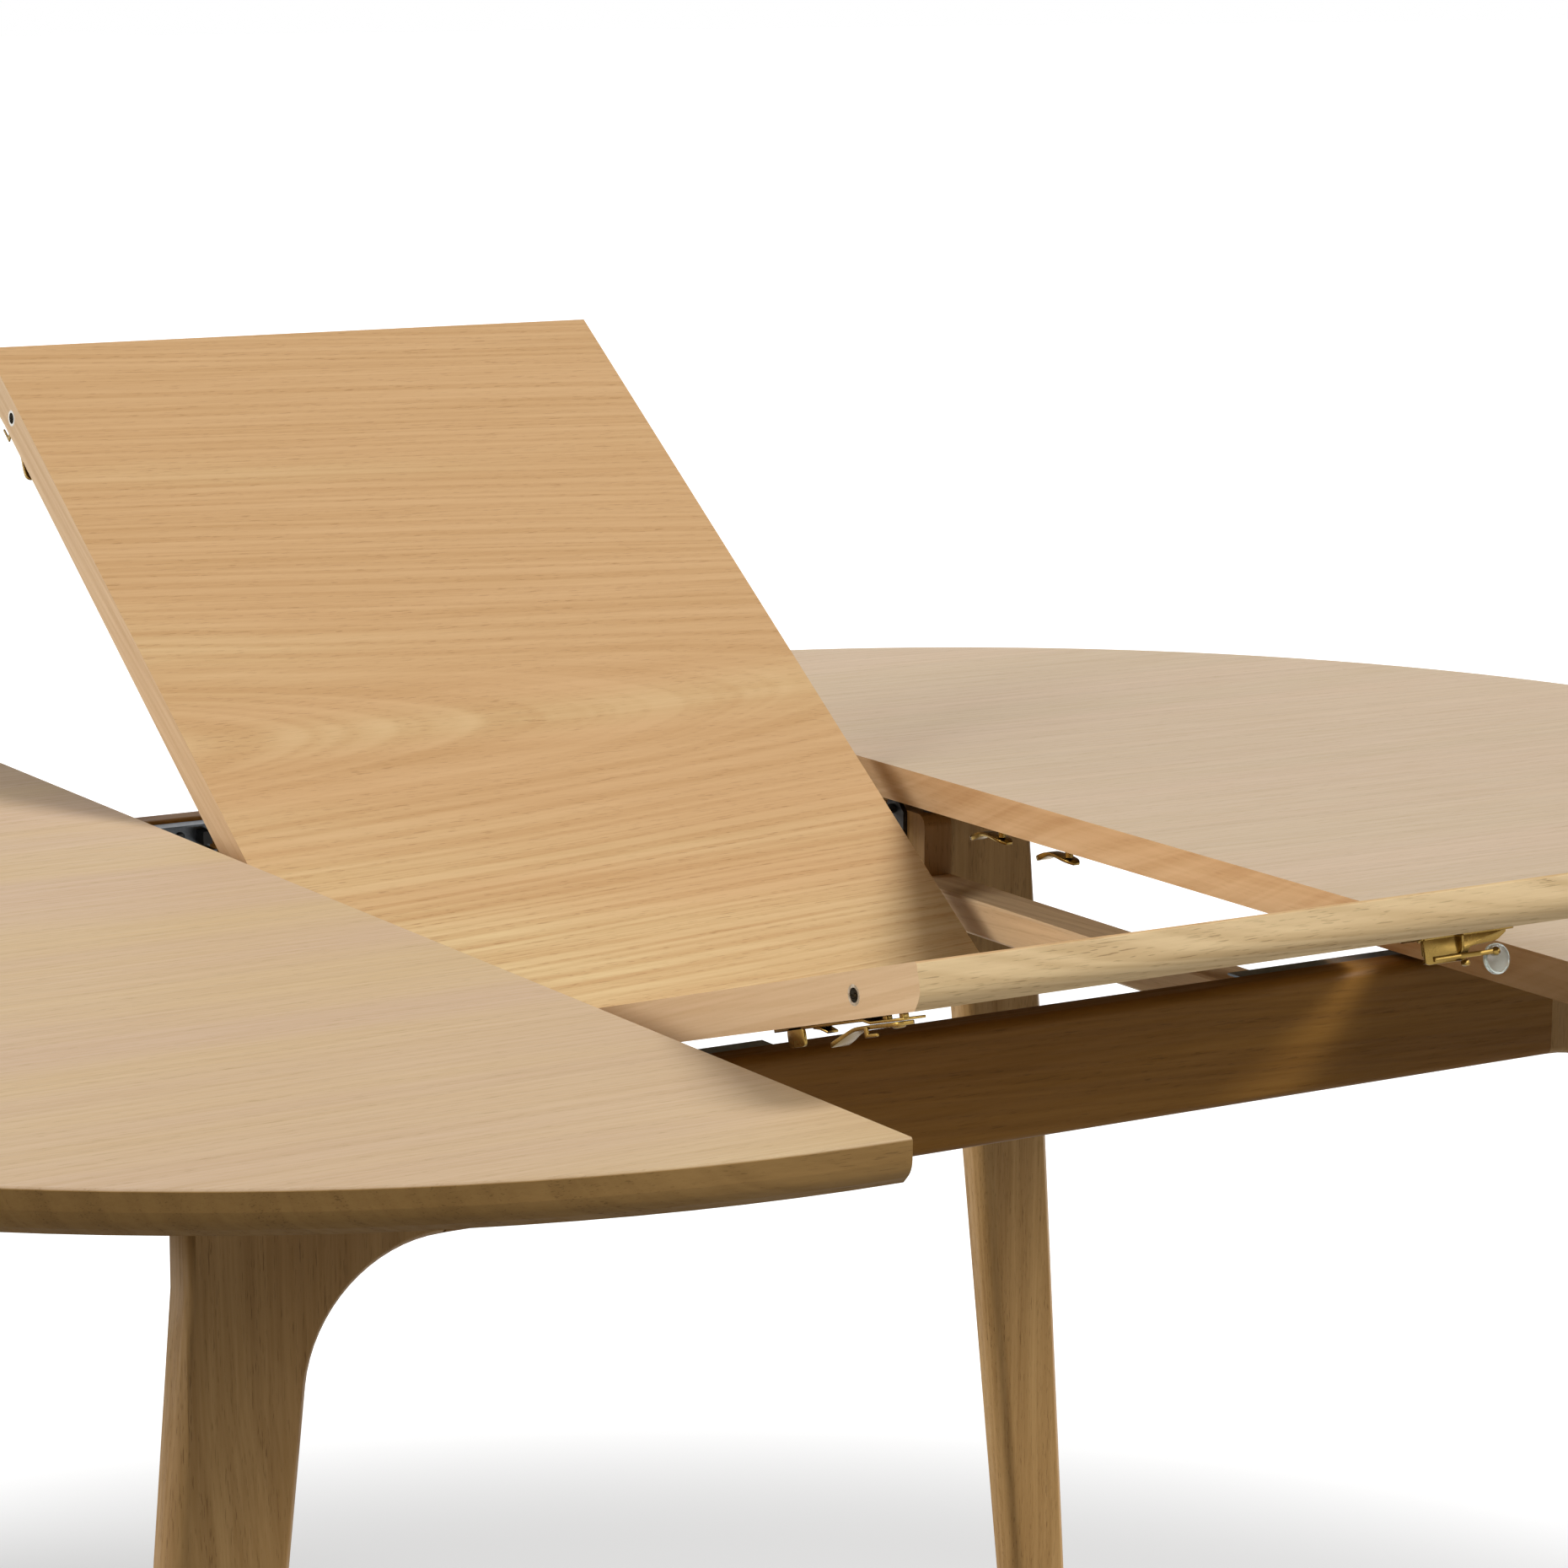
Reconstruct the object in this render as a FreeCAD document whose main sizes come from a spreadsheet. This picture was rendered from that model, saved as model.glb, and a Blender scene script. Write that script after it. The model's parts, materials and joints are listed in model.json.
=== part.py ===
import FreeCAD, Part
import math
import os
import Sketcher

# An extending dining table: two half-round tops slide apart on runners, and between them a leaf of
# two panels, folded at its middle, swings up about studs beside it. The origin is on the floor
# under the middle of the table, +X points along the extension, +Y to the rear, +Z up.
# Lengths are in millimetres and angles in degrees.

SIZES = {
    # Tops
    "top_radius": 600.0,
    "top_height": 750.0,
    "top_thickness": 22.0,
    "leaf_side_gap": 23.5,
    "lipping_thickness": 3.0,
    "rim_upper_bevel": 1.2,
    "rim_lower_bevel": 7.0,
    "rim_lower_round": 12.0,
    # Leaf
    "leaf_span": 430.0,
    "fold_gap": 0.2,
    "rear_panel_tilt": 35.32,
    "front_panel_ride": 6.4,
    "pivot_from_fold": 153.0,
    "pivot_drop": 6.0,
    "stud_radius": 3.0,
    "stud_clearance": 0.05,
    "stud_end_gap": 0.2,
    "ear_thickness": 2.5,
    "ear_inset": 3.0,
    "ear_half_width": 8.0,
    "ear_bevel": 5.0,
    "bracket_flange_width": 22.0,
    "bracket_flange_length": 48.0,
    "barrel_radius": 6.0,
    "barrel_depth": 14.0,
    "barrel_bore_gap": 0.1,
    "barrel_spread": 150.0,
    "socket_from_rim": 56.0,
    "socket_outer_radius": 5.0,
    "socket_bore_radius": 3.5,
    "socket_depth": 13.0,
    "pin_radius": 3.2,
    "pin_length": 9.5,
    "pin_root": 14.0,
    # Catches under the leaf
    "sheet_thickness": 1.5,
    "catch_from_rim": 20.0,
    "catch_length": 114.0,
    "catch_width": 12.0,
    "catch_inset": 2.0,
    "catch_tab_width": 15.0,
    "catch_tab_drop": 10.0,
    "catch_tab_round": 3.0,
    "catch_tab_from_rim": 115.0,
    "catch_pin_from_rim": 34.0,
    "catch_lever_length": 55.0,
    "catch_lever_slope": 23.0,
    "catch_lever_gap": 2.0,
    "disc_bracket_from_rim": 100.0,
    "disc_bracket_inset": 6.0,
    "disc_bracket_length": 60.0,
    "disc_bracket_width": 20.0,
    "disc_flange_length": 51.0,
    "disc_flange_drop": 12.5,
    "disc_flange_round": 5.0,
    "disc_drop": 17.0,
    "disc_from_bracket_end": 45.0,
    "disc_radius": 9.5,
    "disc_thickness": 4.0,
    # Levers of the catches
    "lever_width": 10.0,
    "lever_thickness": 2.0,
    "lever_fall": 6.0,
    "lever_tail": 8.0,
    "lever_pin_radius": 2.5,
    # Catches under the right top
    "top_catch_inset": 17.5,
    "top_catch_front": -18.0,
    "top_catch_spacing": 71.0,
    "top_lever_length": 31.0,
    "top_lever_slope": 21.0,
    "top_lever_gap": 5.0,
    "top_plate_width": 14.0,
    "top_plate_length": 22.0,
    # Aprons and rails
    "base_half_depth": 357.0,
    "apron_thickness": 24.0,
    "apron_height": 64.4,
    "apron_clearance": 3.6,
    "apron_length": 682.0,
    "apron_lower_round": 5.0,
    "apron_upper_round": 6.0,
    "crossbar_from_leaf": 18.0,
    "crossbar_width": 32.5,
    "crossbar_height": 22.0,
    "rail_bevel": 1.5,
    "end_rail_from_apron": 89.0,
    "end_rail_width": 22.0,
    "end_rail_height": 32.0,
    "rail_rise": 1.0,
    # Pivot blocks and plates
    "block_thickness": 20.0,
    "block_length": 62.0,
    "block_round": 8.0,
    "plate_inset": 9.0,
    "plate_thickness": 3.0,
    "plate_width": 22.0,
    "plate_bevel": 6.0,
    "plate_above_pivot": 5.0,
    # Legs
    "leg_bracket_length": 133.5,
    "leg_arch_length": 65.5,
    "leg_foot_start": 146.5,
    "leg_foot_end": 189.0,
    "leg_shoulder_drop": 10.0,
    "leg_neck_drop": 67.0,
    "leg_swell_drop": 140.0,
    "leg_thickness": 32.0,
    "leg_floor_splay": 13.0,
    "leg_arch_radius": 72.0,
    "leg_head_bevel": 4.0,
    "leg_shaft_bevel": 8.0,
    "glide_height": 3.0,
    "glide_length": 24.0,
    "glide_width": 18.0,
    # Runners
    "runner_before_seam": 196.0,
    "runner_length": 300.0,
    "runner_height": 18.0,
    "runner_below_top": 5.5,
    "runner_width": 12.0,
    "runner_sheet": 1.2,
    "runner_gap": 0.3,
    "flange_thickness": 1.4,
    "flange_width": 24.0,
    "stop_length": 6.0,
    "stop_height": 8.0,
    "stop_offset": 3.0,
}

# Two lengths that differ by less than this are the same
HAIR = 1e-4
EXTENT = {"x": "XLength", "y": "YLength", "z": "ZLength"}

doc = FreeCAD.newDocument("extending_dining_table")
sheet = doc.addObject("Spreadsheet::Sheet", "Sizes")
for row, (alias, amount) in enumerate(SIZES.items(), start=1):
    sheet.set(f"A{row}", alias)
    sheet.set(f"B{row}", str(amount))
    sheet.setAlias(f"B{row}", alias)
doc.recompute()


class Size:
    """A length or angle with the spreadsheet formula that it comes from."""

    def __init__(self, number, formula):
        self.number = number
        self.formula = formula

    def join(self, other, sign, number):
        return Size(number, f"({self.formula} {sign} {as_size(other).formula})")

    def __add__(self, other):
        return self.join(other, "+", self.number + as_size(other).number)

    def __sub__(self, other):
        return self.join(other, "-", self.number - as_size(other).number)

    def __mul__(self, other):
        return self.join(other, "*", self.number * as_size(other).number)

    def __truediv__(self, other):
        return self.join(other, "/", self.number / as_size(other).number)

    def __neg__(self):
        return Size(-self.number, f"(0 - {self.formula})")

    def __radd__(self, other):
        return as_size(other) + self

    def __rsub__(self, other):
        return as_size(other) - self

    def __rmul__(self, other):
        return self * other


def as_size(value):
    """Turn a plain number into a size, and leave a size as it is."""
    if isinstance(value, Size):
        return value
    return Size(float(value), repr(value))


def sine(angle):
    return Size(math.sin(math.radians(angle.number)), f"sin({angle.formula} * 1 deg)")


def cosine(angle):
    return Size(math.cos(math.radians(angle.number)), f"cos({angle.formula} * 1 deg)")


def root(square):
    return Size(math.sqrt(square.number), f"sqrt({square.formula})")


def tilt_that_meets(run, fall, thickness):
    """Angle at which a board's underside, hinged at its top edge, passes a point run away and fall lower."""
    span = root(run * run + fall * fall)
    number = math.degrees(
        math.atan2(fall.number, run.number) + math.asin(thickness.number / span.number))
    formula = (f"((atan({fall.formula} / {run.formula})"
               f" + asin({thickness.formula} / {span.formula})) / 1 deg)")
    return Size(number, formula)


size = {alias: Size(amount, f"Sizes.{alias}") for alias, amount in SIZES.items()}
finished = []


def bind(thing, **formulas):
    """Tie properties of an object to sizes; two underscores stand for a dot."""
    for name, value in formulas.items():
        thing.setExpression(name.replace("__", "."), as_size(value).formula)


def ordered(one, other):
    """The two sizes with the smaller first."""
    one, other = as_size(one), as_size(other)
    return (one, other) if one.number < other.number else (other, one)


def finish(thing, name):
    """Name a finished sub-part after its file."""
    thing.Label = name
    finished.append(thing)


# PartDesign helpers

def new_body(name):
    body = doc.addObject("PartDesign::Body", name + "_body")
    return body


def new_sketch(body, plane, lift):
    """An empty sketch on one of the body's own origin planes, moved along the plane's normal."""
    sketch = body.newObject("Sketcher::SketchObject", body.Name + "_outline")
    support = [item for item in body.Origin.OriginFeatures if item.Role == plane + "_Plane"][0]
    sketch.AttachmentSupport = [(support, "")]
    sketch.MapMode = "FlatFace"
    bind(sketch, AttachmentOffset__Base__z=lift)
    return sketch


def fix(sketch, kind, *where_and_value):
    """Add a driving dimension and tie it to its size."""
    *where, value = where_and_value
    index = sketch.addConstraint(Sketcher.Constraint(kind, *where, as_size(value).number))
    sketch.renameConstraint(index, f"fixed_{index}")
    sketch.setExpression(f"Constraints.fixed_{index}", as_size(value).formula)


def fix_point(sketch, edge, end, across, along):
    """Hold one end of an edge at its place in the sketch."""
    for kind, axis, value in (("DistanceX", -2, across), ("DistanceY", -1, along)):
        if as_size(value).number == 0:
            sketch.addConstraint(Sketcher.Constraint("PointOnObject", edge, end, axis))
        else:
            fix(sketch, kind, edge, end, value)


def draw_polygon(sketch, points):
    """A closed outline of straight edges through the points."""
    corners = [FreeCAD.Vector(as_size(u).number, as_size(v).number, 0) for u, v in points]
    first = sketch.GeometryCount
    for start, stop in zip(corners, corners[1:] + corners[:1]):
        sketch.addGeometry(Part.LineSegment(start, stop), False)
    count = len(corners)
    for index, (across, along) in enumerate(points):
        before = first + (index - 1) % count
        sketch.addConstraint(Sketcher.Constraint("Coincident", before, 2, first + index, 1))
        fix_point(sketch, first + index, 1, across, along)


def draw_bevelled_box(sketch, across, along, bevel):
    """A rectangle between two sizes each way, with its four corners cut off."""
    low_u, high_u = ordered(*across)
    low_v, high_v = ordered(*along)
    draw_polygon(sketch, ((low_u + bevel, low_v), (high_u - bevel, low_v), (high_u, low_v + bevel),
                          (high_u, high_v - bevel), (high_u - bevel, high_v), (low_u + bevel, high_v),
                          (low_u, high_v - bevel), (low_u, low_v + bevel)))


def draw_disc(sketch, across, along, radius):
    """A full circle."""
    centre = FreeCAD.Vector(as_size(across).number, as_size(along).number, 0)
    circle = Part.Circle(centre, FreeCAD.Vector(0, 0, 1), radius.number)
    index = sketch.addGeometry(circle, False)
    fix_point(sketch, index, 3, across, along)
    fix(sketch, "Radius", index, radius)


def extrude(body, plane, draw, low, high):
    """Pad an outline from low to high along the world axis that its plane faces."""
    low, high = ordered(low, high)
    lift = -high if plane == "XZ" else low
    sketch = new_sketch(body, plane, lift)
    draw(sketch)
    pad = body.newObject("PartDesign::Pad", body.Name + "_pad")
    pad.Profile = sketch
    bind(pad, Length=high - low)
    doc.recompute()
    return pad


def cut(body, plane, draw, low, high):
    """Pocket an outline between low and high, and make sure that it removed something."""
    volume = body.Shape.Volume
    low, high = ordered(low, high)
    lift = -low if plane == "XZ" else high
    sketch = new_sketch(body, plane, lift)
    draw(sketch)
    pocket = body.newObject("PartDesign::Pocket", body.Name + "_pocket")
    pocket.Profile = sketch
    bind(pocket, Length=high - low)
    doc.recompute()
    if not body.Shape.Volume < volume:
        raise RuntimeError(f"{pocket.Name} cut nothing")
    return pocket


def round_edges(body, radius, wanted):
    """Fillet the edges of the body's last feature that the test picks."""
    dress = picked_edges(body, "Fillet", wanted)
    bind(dress, Radius=radius)
    doc.recompute()


def bevel_edges(body, width, wanted):
    """Chamfer the edges of the body's last feature that the test picks."""
    dress = picked_edges(body, "Chamfer", wanted)
    bind(dress, Size=width)
    doc.recompute()


def picked_edges(body, kind, wanted):
    """A fillet or chamfer on the edges that the test picks."""
    base = body.Tip
    names = [f"Edge{index}" for index, edge in enumerate(base.Shape.Edges, start=1) if wanted(edge)]
    if not names:
        raise RuntimeError(f"{body.Name} has no edge for its {kind}")
    dress = body.newObject("PartDesign::" + kind, body.Name + "_" + kind.lower())
    dress.Base = (base, names)
    return dress


def place(body, position, angle=0, axis=FreeCAD.Vector(1, 0, 0)):
    """Give a finished sub-part its place and tilt."""
    start = FreeCAD.Vector(*[as_size(value).number for value in position])
    turn = FreeCAD.Rotation(axis, as_size(angle).number)
    body.Placement = FreeCAD.Placement(start, turn)
    for letter, value in zip("xyz", position):
        bind(body, **{"Placement__Base__" + letter: value})
    if isinstance(angle, Size):
        bind(body, Placement__Rotation__Angle=angle)


def near(one, other):
    """Whether two lengths agree to a hair."""
    return abs(one - other) < HAIR


def runs_along(edge, letter):
    """Whether an edge is straight along one axis."""
    flat = [getattr(edge.BoundBox, name) for key, name in EXTENT.items() if key != letter]
    return max(flat) < HAIR


def box_between(name, low, high):
    """A plain Part box between two corners."""
    box = doc.addObject("Part::Box", name)
    bind(box, Length=high[0] - low[0], Width=high[1] - low[1], Height=high[2] - low[2])
    place(box, low)
    return box


def rod(name, radius, start, length, direction):
    """A Part cylinder from a point along a direction."""
    bar = doc.addObject("Part::Cylinder", name)
    bind(bar, Radius=radius, Height=length)
    place(bar, start)
    turn = FreeCAD.Rotation(FreeCAD.Vector(0, 0, 1), direction)
    bar.Placement = FreeCAD.Placement(bar.Placement.Base, turn)
    return bar


def group(name, members):
    """Several separate solids as one sub-part."""
    compound = doc.addObject("Part::Compound", name + "_group")
    compound.Links = members
    return compound


# Levels and places that several pieces share

under_top = size["top_height"] - size["top_thickness"]
apron_top = under_top - size["apron_clearance"]
apron_bottom = apron_top - size["apron_height"]
base_inside = size["base_half_depth"] - size["apron_thickness"]
pivot_height = under_top - size["pivot_drop"]
pivot_below_face = size["top_thickness"] + size["pivot_drop"]
leaf_reach = size["top_radius"]
leaf_half = size["leaf_span"] / 2
half_opening = leaf_half + size["leaf_side_gap"]
pin_line = size["top_radius"] - size["socket_from_rim"]
mid_board = -size["top_thickness"] / 2
rail_bottom = apron_bottom + size["rail_rise"]
crossbar_face = leaf_half + size["crossbar_from_leaf"]
plate_face = crossbar_face + size["plate_inset"]
seam = size["apron_length"] / 2
runner_start = seam - size["runner_before_seam"]
end_rail_face = seam + size["end_rail_from_apron"]
leg_head_in = seam + size["leg_arch_length"]
leg_head_out = seam + size["leg_bracket_length"]
leg_floor_in = seam + size["leg_foot_start"]
leg_floor_out = seam + size["leg_foot_end"]

sine_rear = sine(size["rear_panel_tilt"])
cosine_rear = cosine(size["rear_panel_tilt"])
fold_depth = (size["pivot_from_fold"]
              - size["pivot_from_fold"] * cosine_rear - pivot_below_face * sine_rear)
fold_height = (pivot_height
               - size["pivot_from_fold"] * sine_rear + pivot_below_face * cosine_rear)
front_rise = apron_top + size["front_panel_ride"] - fold_height
front_panel_tilt = tilt_that_meets(fold_depth + base_inside, front_rise, size["top_thickness"])


# Tops

def half_disc(sketch, side):
    """The straight edge of a top's board and the arc that closes it."""
    edge_at = size["lipping_thickness"]
    reach = math.sqrt(size["top_radius"].number ** 2 - edge_at.number ** 2)
    start = FreeCAD.Vector(side * edge_at.number, -reach, 0)
    stop = FreeCAD.Vector(side * edge_at.number, reach, 0)
    circle = Part.Circle(FreeCAD.Vector(0, 0, 0), FreeCAD.Vector(0, 0, 1), size["top_radius"].number)
    angle = math.atan2(reach, edge_at.number)
    middle = 0 if side > 0 else math.pi
    arc = sketch.addGeometry(Part.ArcOfCircle(circle, middle - angle, middle + angle), False)
    line = sketch.addGeometry(Part.LineSegment(start, stop), False)
    first, last = (1, 2) if side > 0 else (2, 1)
    sketch.addConstraint(Sketcher.Constraint("Coincident", arc, 3, -1, 1))
    sketch.addConstraint(Sketcher.Constraint("Coincident", arc, first, line, 1))
    sketch.addConstraint(Sketcher.Constraint("Coincident", arc, last, line, 2))
    sketch.addConstraint(Sketcher.Constraint("Vertical", line))
    fix(sketch, "Radius", arc, size["top_radius"])
    fix(sketch, "DistanceX", line, 1, side * edge_at)


def shape_rim(body, on_rim):
    """Bevel the upper arris of a rim, and sweep its lower half under in a round that runs into a bevel."""
    def level_at(height):
        def is_on_level(edge):
            box = edge.BoundBox
            return on_rim(edge) and near(box.ZMin, height) and near(box.ZMax, height)
        return is_on_level

    top = body.Shape.BoundBox.ZMax
    bottom = body.Shape.BoundBox.ZMin
    bevel_edges(body, size["rim_upper_bevel"], level_at(top))
    bevel_edges(body, size["rim_lower_bevel"], level_at(bottom))
    round_edges(body, size["rim_lower_round"], level_at(bottom + size["rim_lower_bevel"].number))


def is_arc(edge):
    return isinstance(edge.Curve, Part.Circle) and edge.Curve.Radius > size["top_radius"].number / 2


def top_panel(name, side):
    body = new_body(name)
    extrude(body, "XY", lambda sketch: half_disc(sketch, side), -size["top_thickness"], 0)
    shape_rim(body, is_arc)
    if side < 0:
        for way in (-1, 1):
            cut(body, "YZ", lambda sketch: draw_disc(sketch, way * pin_line, mid_board, size["pin_radius"]),
                -size["lipping_thickness"] - size["pin_root"], -size["lipping_thickness"])
    place(body, (side * half_opening, 0, size["top_height"]))
    finish(body, name)


def top_lipping(name, side):
    """A light strip along the butt edge, its ends cut to the rim's section."""
    body = new_body(name)
    rim = size["top_radius"]
    outline = ((-rim, -size["top_thickness"]), (rim, -size["top_thickness"]), (rim, 0), (-rim, 0))
    extrude(body, "YZ", lambda sketch: draw_polygon(sketch, outline), 0, side * size["lipping_thickness"])
    shape_rim(body, lambda edge: runs_along(edge, "x"))
    if side < 0:
        for way in (-1, 1):
            cut(body, "YZ", lambda sketch: draw_disc(sketch, way * pin_line, mid_board, size["pin_radius"]),
                -size["lipping_thickness"], 0)
    place(body, (side * half_opening, 0, size["top_height"]))
    finish(body, name)


def top_pins():
    """Dowel pins that stand out of the left top's butt edge."""
    pins = []
    for way in (-1, 1):
        start = (-half_opening - size["pin_root"], way * pin_line, size["top_height"] + mid_board)
        pins.append(rod("top_pin", size["pin_radius"], start, size["pin_root"] + size["pin_length"],
                        FreeCAD.Vector(1, 0, 0)))
    finish(group("left_top_pins", pins), "left_top_pins")


def catch_lever(name, across, along, way, top, length, slope):
    """A strip with its pin hole, level at the pin and bent down towards its tip."""
    body = new_body(name)
    bottom = top - size["lever_thickness"]
    fall = size["lever_fall"]
    tail = along - way * size["lever_tail"]
    bend = along + way * (length - slope)
    tip = along + way * length
    section = ((tail, top), (bend, top), (tip, top - fall),
               (tip, bottom - fall), (bend, bottom), (tail, bottom))
    left = across - size["lever_width"] / 2
    right = across + size["lever_width"] / 2
    hole = size["lever_pin_radius"] + size["stud_clearance"]
    extrude(body, "YZ", lambda sketch: draw_polygon(sketch, section), left, right)
    cut(body, "XY", lambda sketch: draw_disc(sketch, across, along, hole), bottom, top)
    return body


def top_catch(name, number):
    """Plate with its pin, and the bent lever that turns on it, under the right top."""
    centre_x = half_opening + size["top_catch_inset"]
    pin_y = size["top_catch_front"] + number * size["top_catch_spacing"]
    half_plate = size["top_plate_width"] / 2
    low_x = centre_x - half_plate
    high_x = centre_x + half_plate
    low_y = pin_y - half_plate
    high_y = low_y + size["top_plate_length"]
    plate_under = under_top - size["sheet_thickness"]
    lever_top = plate_under - size["top_lever_gap"]

    plate = new_body("centre_catch_plate_" + name)
    outline = ((low_x, low_y), (high_x, low_y), (high_x, high_y), (low_x, high_y))
    extrude(plate, "XY", lambda sketch: draw_polygon(sketch, outline), plate_under, under_top)
    extrude(plate, "XY", lambda sketch: draw_disc(sketch, centre_x, pin_y, size["lever_pin_radius"]),
            lever_top - size["lever_thickness"], plate_under)
    place(plate, (0, 0, 0))
    finish(plate, "centre_catch_plate_" + name)

    lever = catch_lever("centre_catch_lever_" + name, centre_x, pin_y, 1, lever_top,
                        size["top_lever_length"], size["top_lever_slope"])
    place(lever, (0, 0, 0))
    finish(lever, "centre_catch_lever_" + name)


# Runners

def channel(outer_face, top, bottom, depth, sheet, side):
    """A C-shaped section open towards the middle of the table."""
    web = outer_face - sheet
    lip = outer_face - depth
    points = ((outer_face, bottom), (outer_face, top), (lip, top), (lip, top - sheet),
              (web, top - sheet), (web, bottom + sheet), (lip, bottom + sheet), (lip, bottom))
    return [(side * across, up) for across, up in points]


def runners(end, way, where, side):
    """The three members of one runner: fixed to the apron, floating, and carrying the top."""
    sheet = size["runner_sheet"]
    gap = size["runner_gap"]
    top = under_top - size["runner_below_top"]
    bottom = top - size["runner_height"]
    start = runner_start
    tail = f"{where}_{end}"

    fixed = new_body("runner_fixed_" + tail)
    section = channel(base_inside, top, bottom, size["runner_width"] - gap, sheet, side)
    extrude(fixed, "YZ", lambda sketch: draw_polygon(sketch, section),
            way * start, way * (start + size["runner_length"]))
    place(fixed, (0, 0, 0))
    finish(fixed, "runner_fixed_" + tail)

    step = sheet + gap
    start = start + half_opening / 2
    middle = new_body("runner_middle_" + tail)
    section = channel(base_inside - step, top - step, bottom + step,
                      size["runner_width"] - gap - step, sheet, side)
    extrude(middle, "YZ", lambda sketch: draw_polygon(sketch, section),
            way * start, way * (start + size["runner_length"]))
    place(middle, (0, 0, 0))
    finish(middle, "runner_middle_" + tail)

    start = start + half_opening / 2
    carrier = new_body("runner_top_" + tail)
    web_outside = base_inside - size["runner_width"]
    web_inside = web_outside - sheet
    back = base_inside - 2 * step
    high = top - 2 * step
    low = bottom + 2 * step
    flange_under = under_top - size["flange_thickness"]
    points = ((back, low), (back, low + sheet), (web_outside, low + sheet),
              (web_outside, high - sheet), (back, high - sheet), (back, high), (web_outside, high),
              (web_outside, under_top), (web_outside - size["flange_width"], under_top),
              (web_outside - size["flange_width"], flange_under), (web_inside, flange_under),
              (web_inside, low))
    section = [(side * across, up) for across, up in points]
    extrude(carrier, "YZ", lambda sketch: draw_polygon(sketch, section),
            way * start, way * (start + size["runner_length"]))
    place(carrier, (0, 0, 0))
    finish(carrier, "runner_top_" + tail)


def runner_stops():
    """A plastic block at the inner end of each fixed member."""
    stops = []
    middle_height = under_top - size["runner_below_top"] - size["runner_height"] / 2
    web = base_inside - size["runner_sheet"]
    lip = base_inside - size["runner_width"] + size["runner_gap"]
    for side in (-1, 1):
        for way in (-1, 1):
            start = runner_start + size["stop_offset"]
            low_x, high_x = ordered(way * start, way * (start + size["stop_length"]))
            low_y, high_y = ordered(side * lip, side * web)
            low = (low_x, low_y, middle_height - size["stop_height"] / 2)
            high = (high_x, high_y, middle_height + size["stop_height"] / 2)
            stops.append(box_between("runner_stop", low, high))
    finish(group("runner_stops", stops), "runner_stops")


# Aprons, rails, blocks and plates

def apron(name, side):
    body = new_body(name)
    inner = side * base_inside
    outer = side * size["base_half_depth"]
    outline = ((inner, apron_bottom), (outer, apron_bottom), (outer, apron_top), (inner, apron_top))
    extrude(body, "YZ", lambda sketch: draw_polygon(sketch, outline), -seam, seam)
    round_edges(body, size["apron_lower_round"],
                lambda edge: runs_along(edge, "x") and near(edge.BoundBox.ZMax, apron_bottom.number))
    round_edges(body, size["apron_upper_round"],
                lambda edge: runs_along(edge, "x") and near(edge.BoundBox.ZMin, apron_top.number))
    place(body, (0, 0, 0))
    finish(body, name)


def rail(name, way, inner_face, width, height):
    """A bar from apron to apron with bevelled long edges."""
    body = new_body(name)
    high = rail_bottom + height
    one = way * inner_face
    other = way * (inner_face + width)
    outline = ((one, rail_bottom), (other, rail_bottom), (other, high), (one, high))
    extrude(body, "XZ", lambda sketch: draw_polygon(sketch, outline), -base_inside, base_inside)
    bevel_edges(body, size["rail_bevel"], lambda edge: runs_along(edge, "y"))
    place(body, (0, 0, 0))
    finish(body, name)


def pivot_block(name, way):
    """The wooden block that stands on a crossbar beside the pivot plate."""
    body = new_body(name)
    low = rail_bottom + size["crossbar_height"]
    centre = size["pivot_from_fold"]
    half = size["block_length"] / 2
    outline = ((centre - half, low), (centre + half, low), (centre + half, pivot_height),
               (centre - half, pivot_height))
    face = plate_face + size["plate_thickness"]
    extrude(body, "YZ", lambda sketch: draw_polygon(sketch, outline),
            way * face, way * (face + size["block_thickness"]))
    round_edges(body, size["block_round"],
                lambda edge: runs_along(edge, "x") and near(edge.BoundBox.ZMin, pivot_height.number))
    place(body, (0, 0, 0))
    finish(body, name)


def pivot_plate(name, way):
    """The steel plate with the hole in which the leaf's stud turns."""
    body = new_body(name)
    low = rail_bottom + size["crossbar_height"]
    high = pivot_height + size["plate_above_pivot"]
    centre = size["pivot_from_fold"]
    half = size["plate_width"] / 2
    outline = ((centre - half, low), (centre + half, low), (centre + half, high), (centre - half, high))
    ends = (way * plate_face, way * (plate_face + size["plate_thickness"]))
    extrude(body, "YZ", lambda sketch: draw_polygon(sketch, outline), *ends)
    bevel_edges(body, size["plate_bevel"],
                lambda edge: runs_along(edge, "x") and near(edge.BoundBox.ZMin, high.number))
    hole = size["stud_radius"] + size["stud_clearance"]
    cut(body, "YZ", lambda sketch: draw_disc(sketch, centre, pivot_height, hole), *ends)
    place(body, (0, 0, 0))
    finish(body, name)


# Legs

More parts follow.
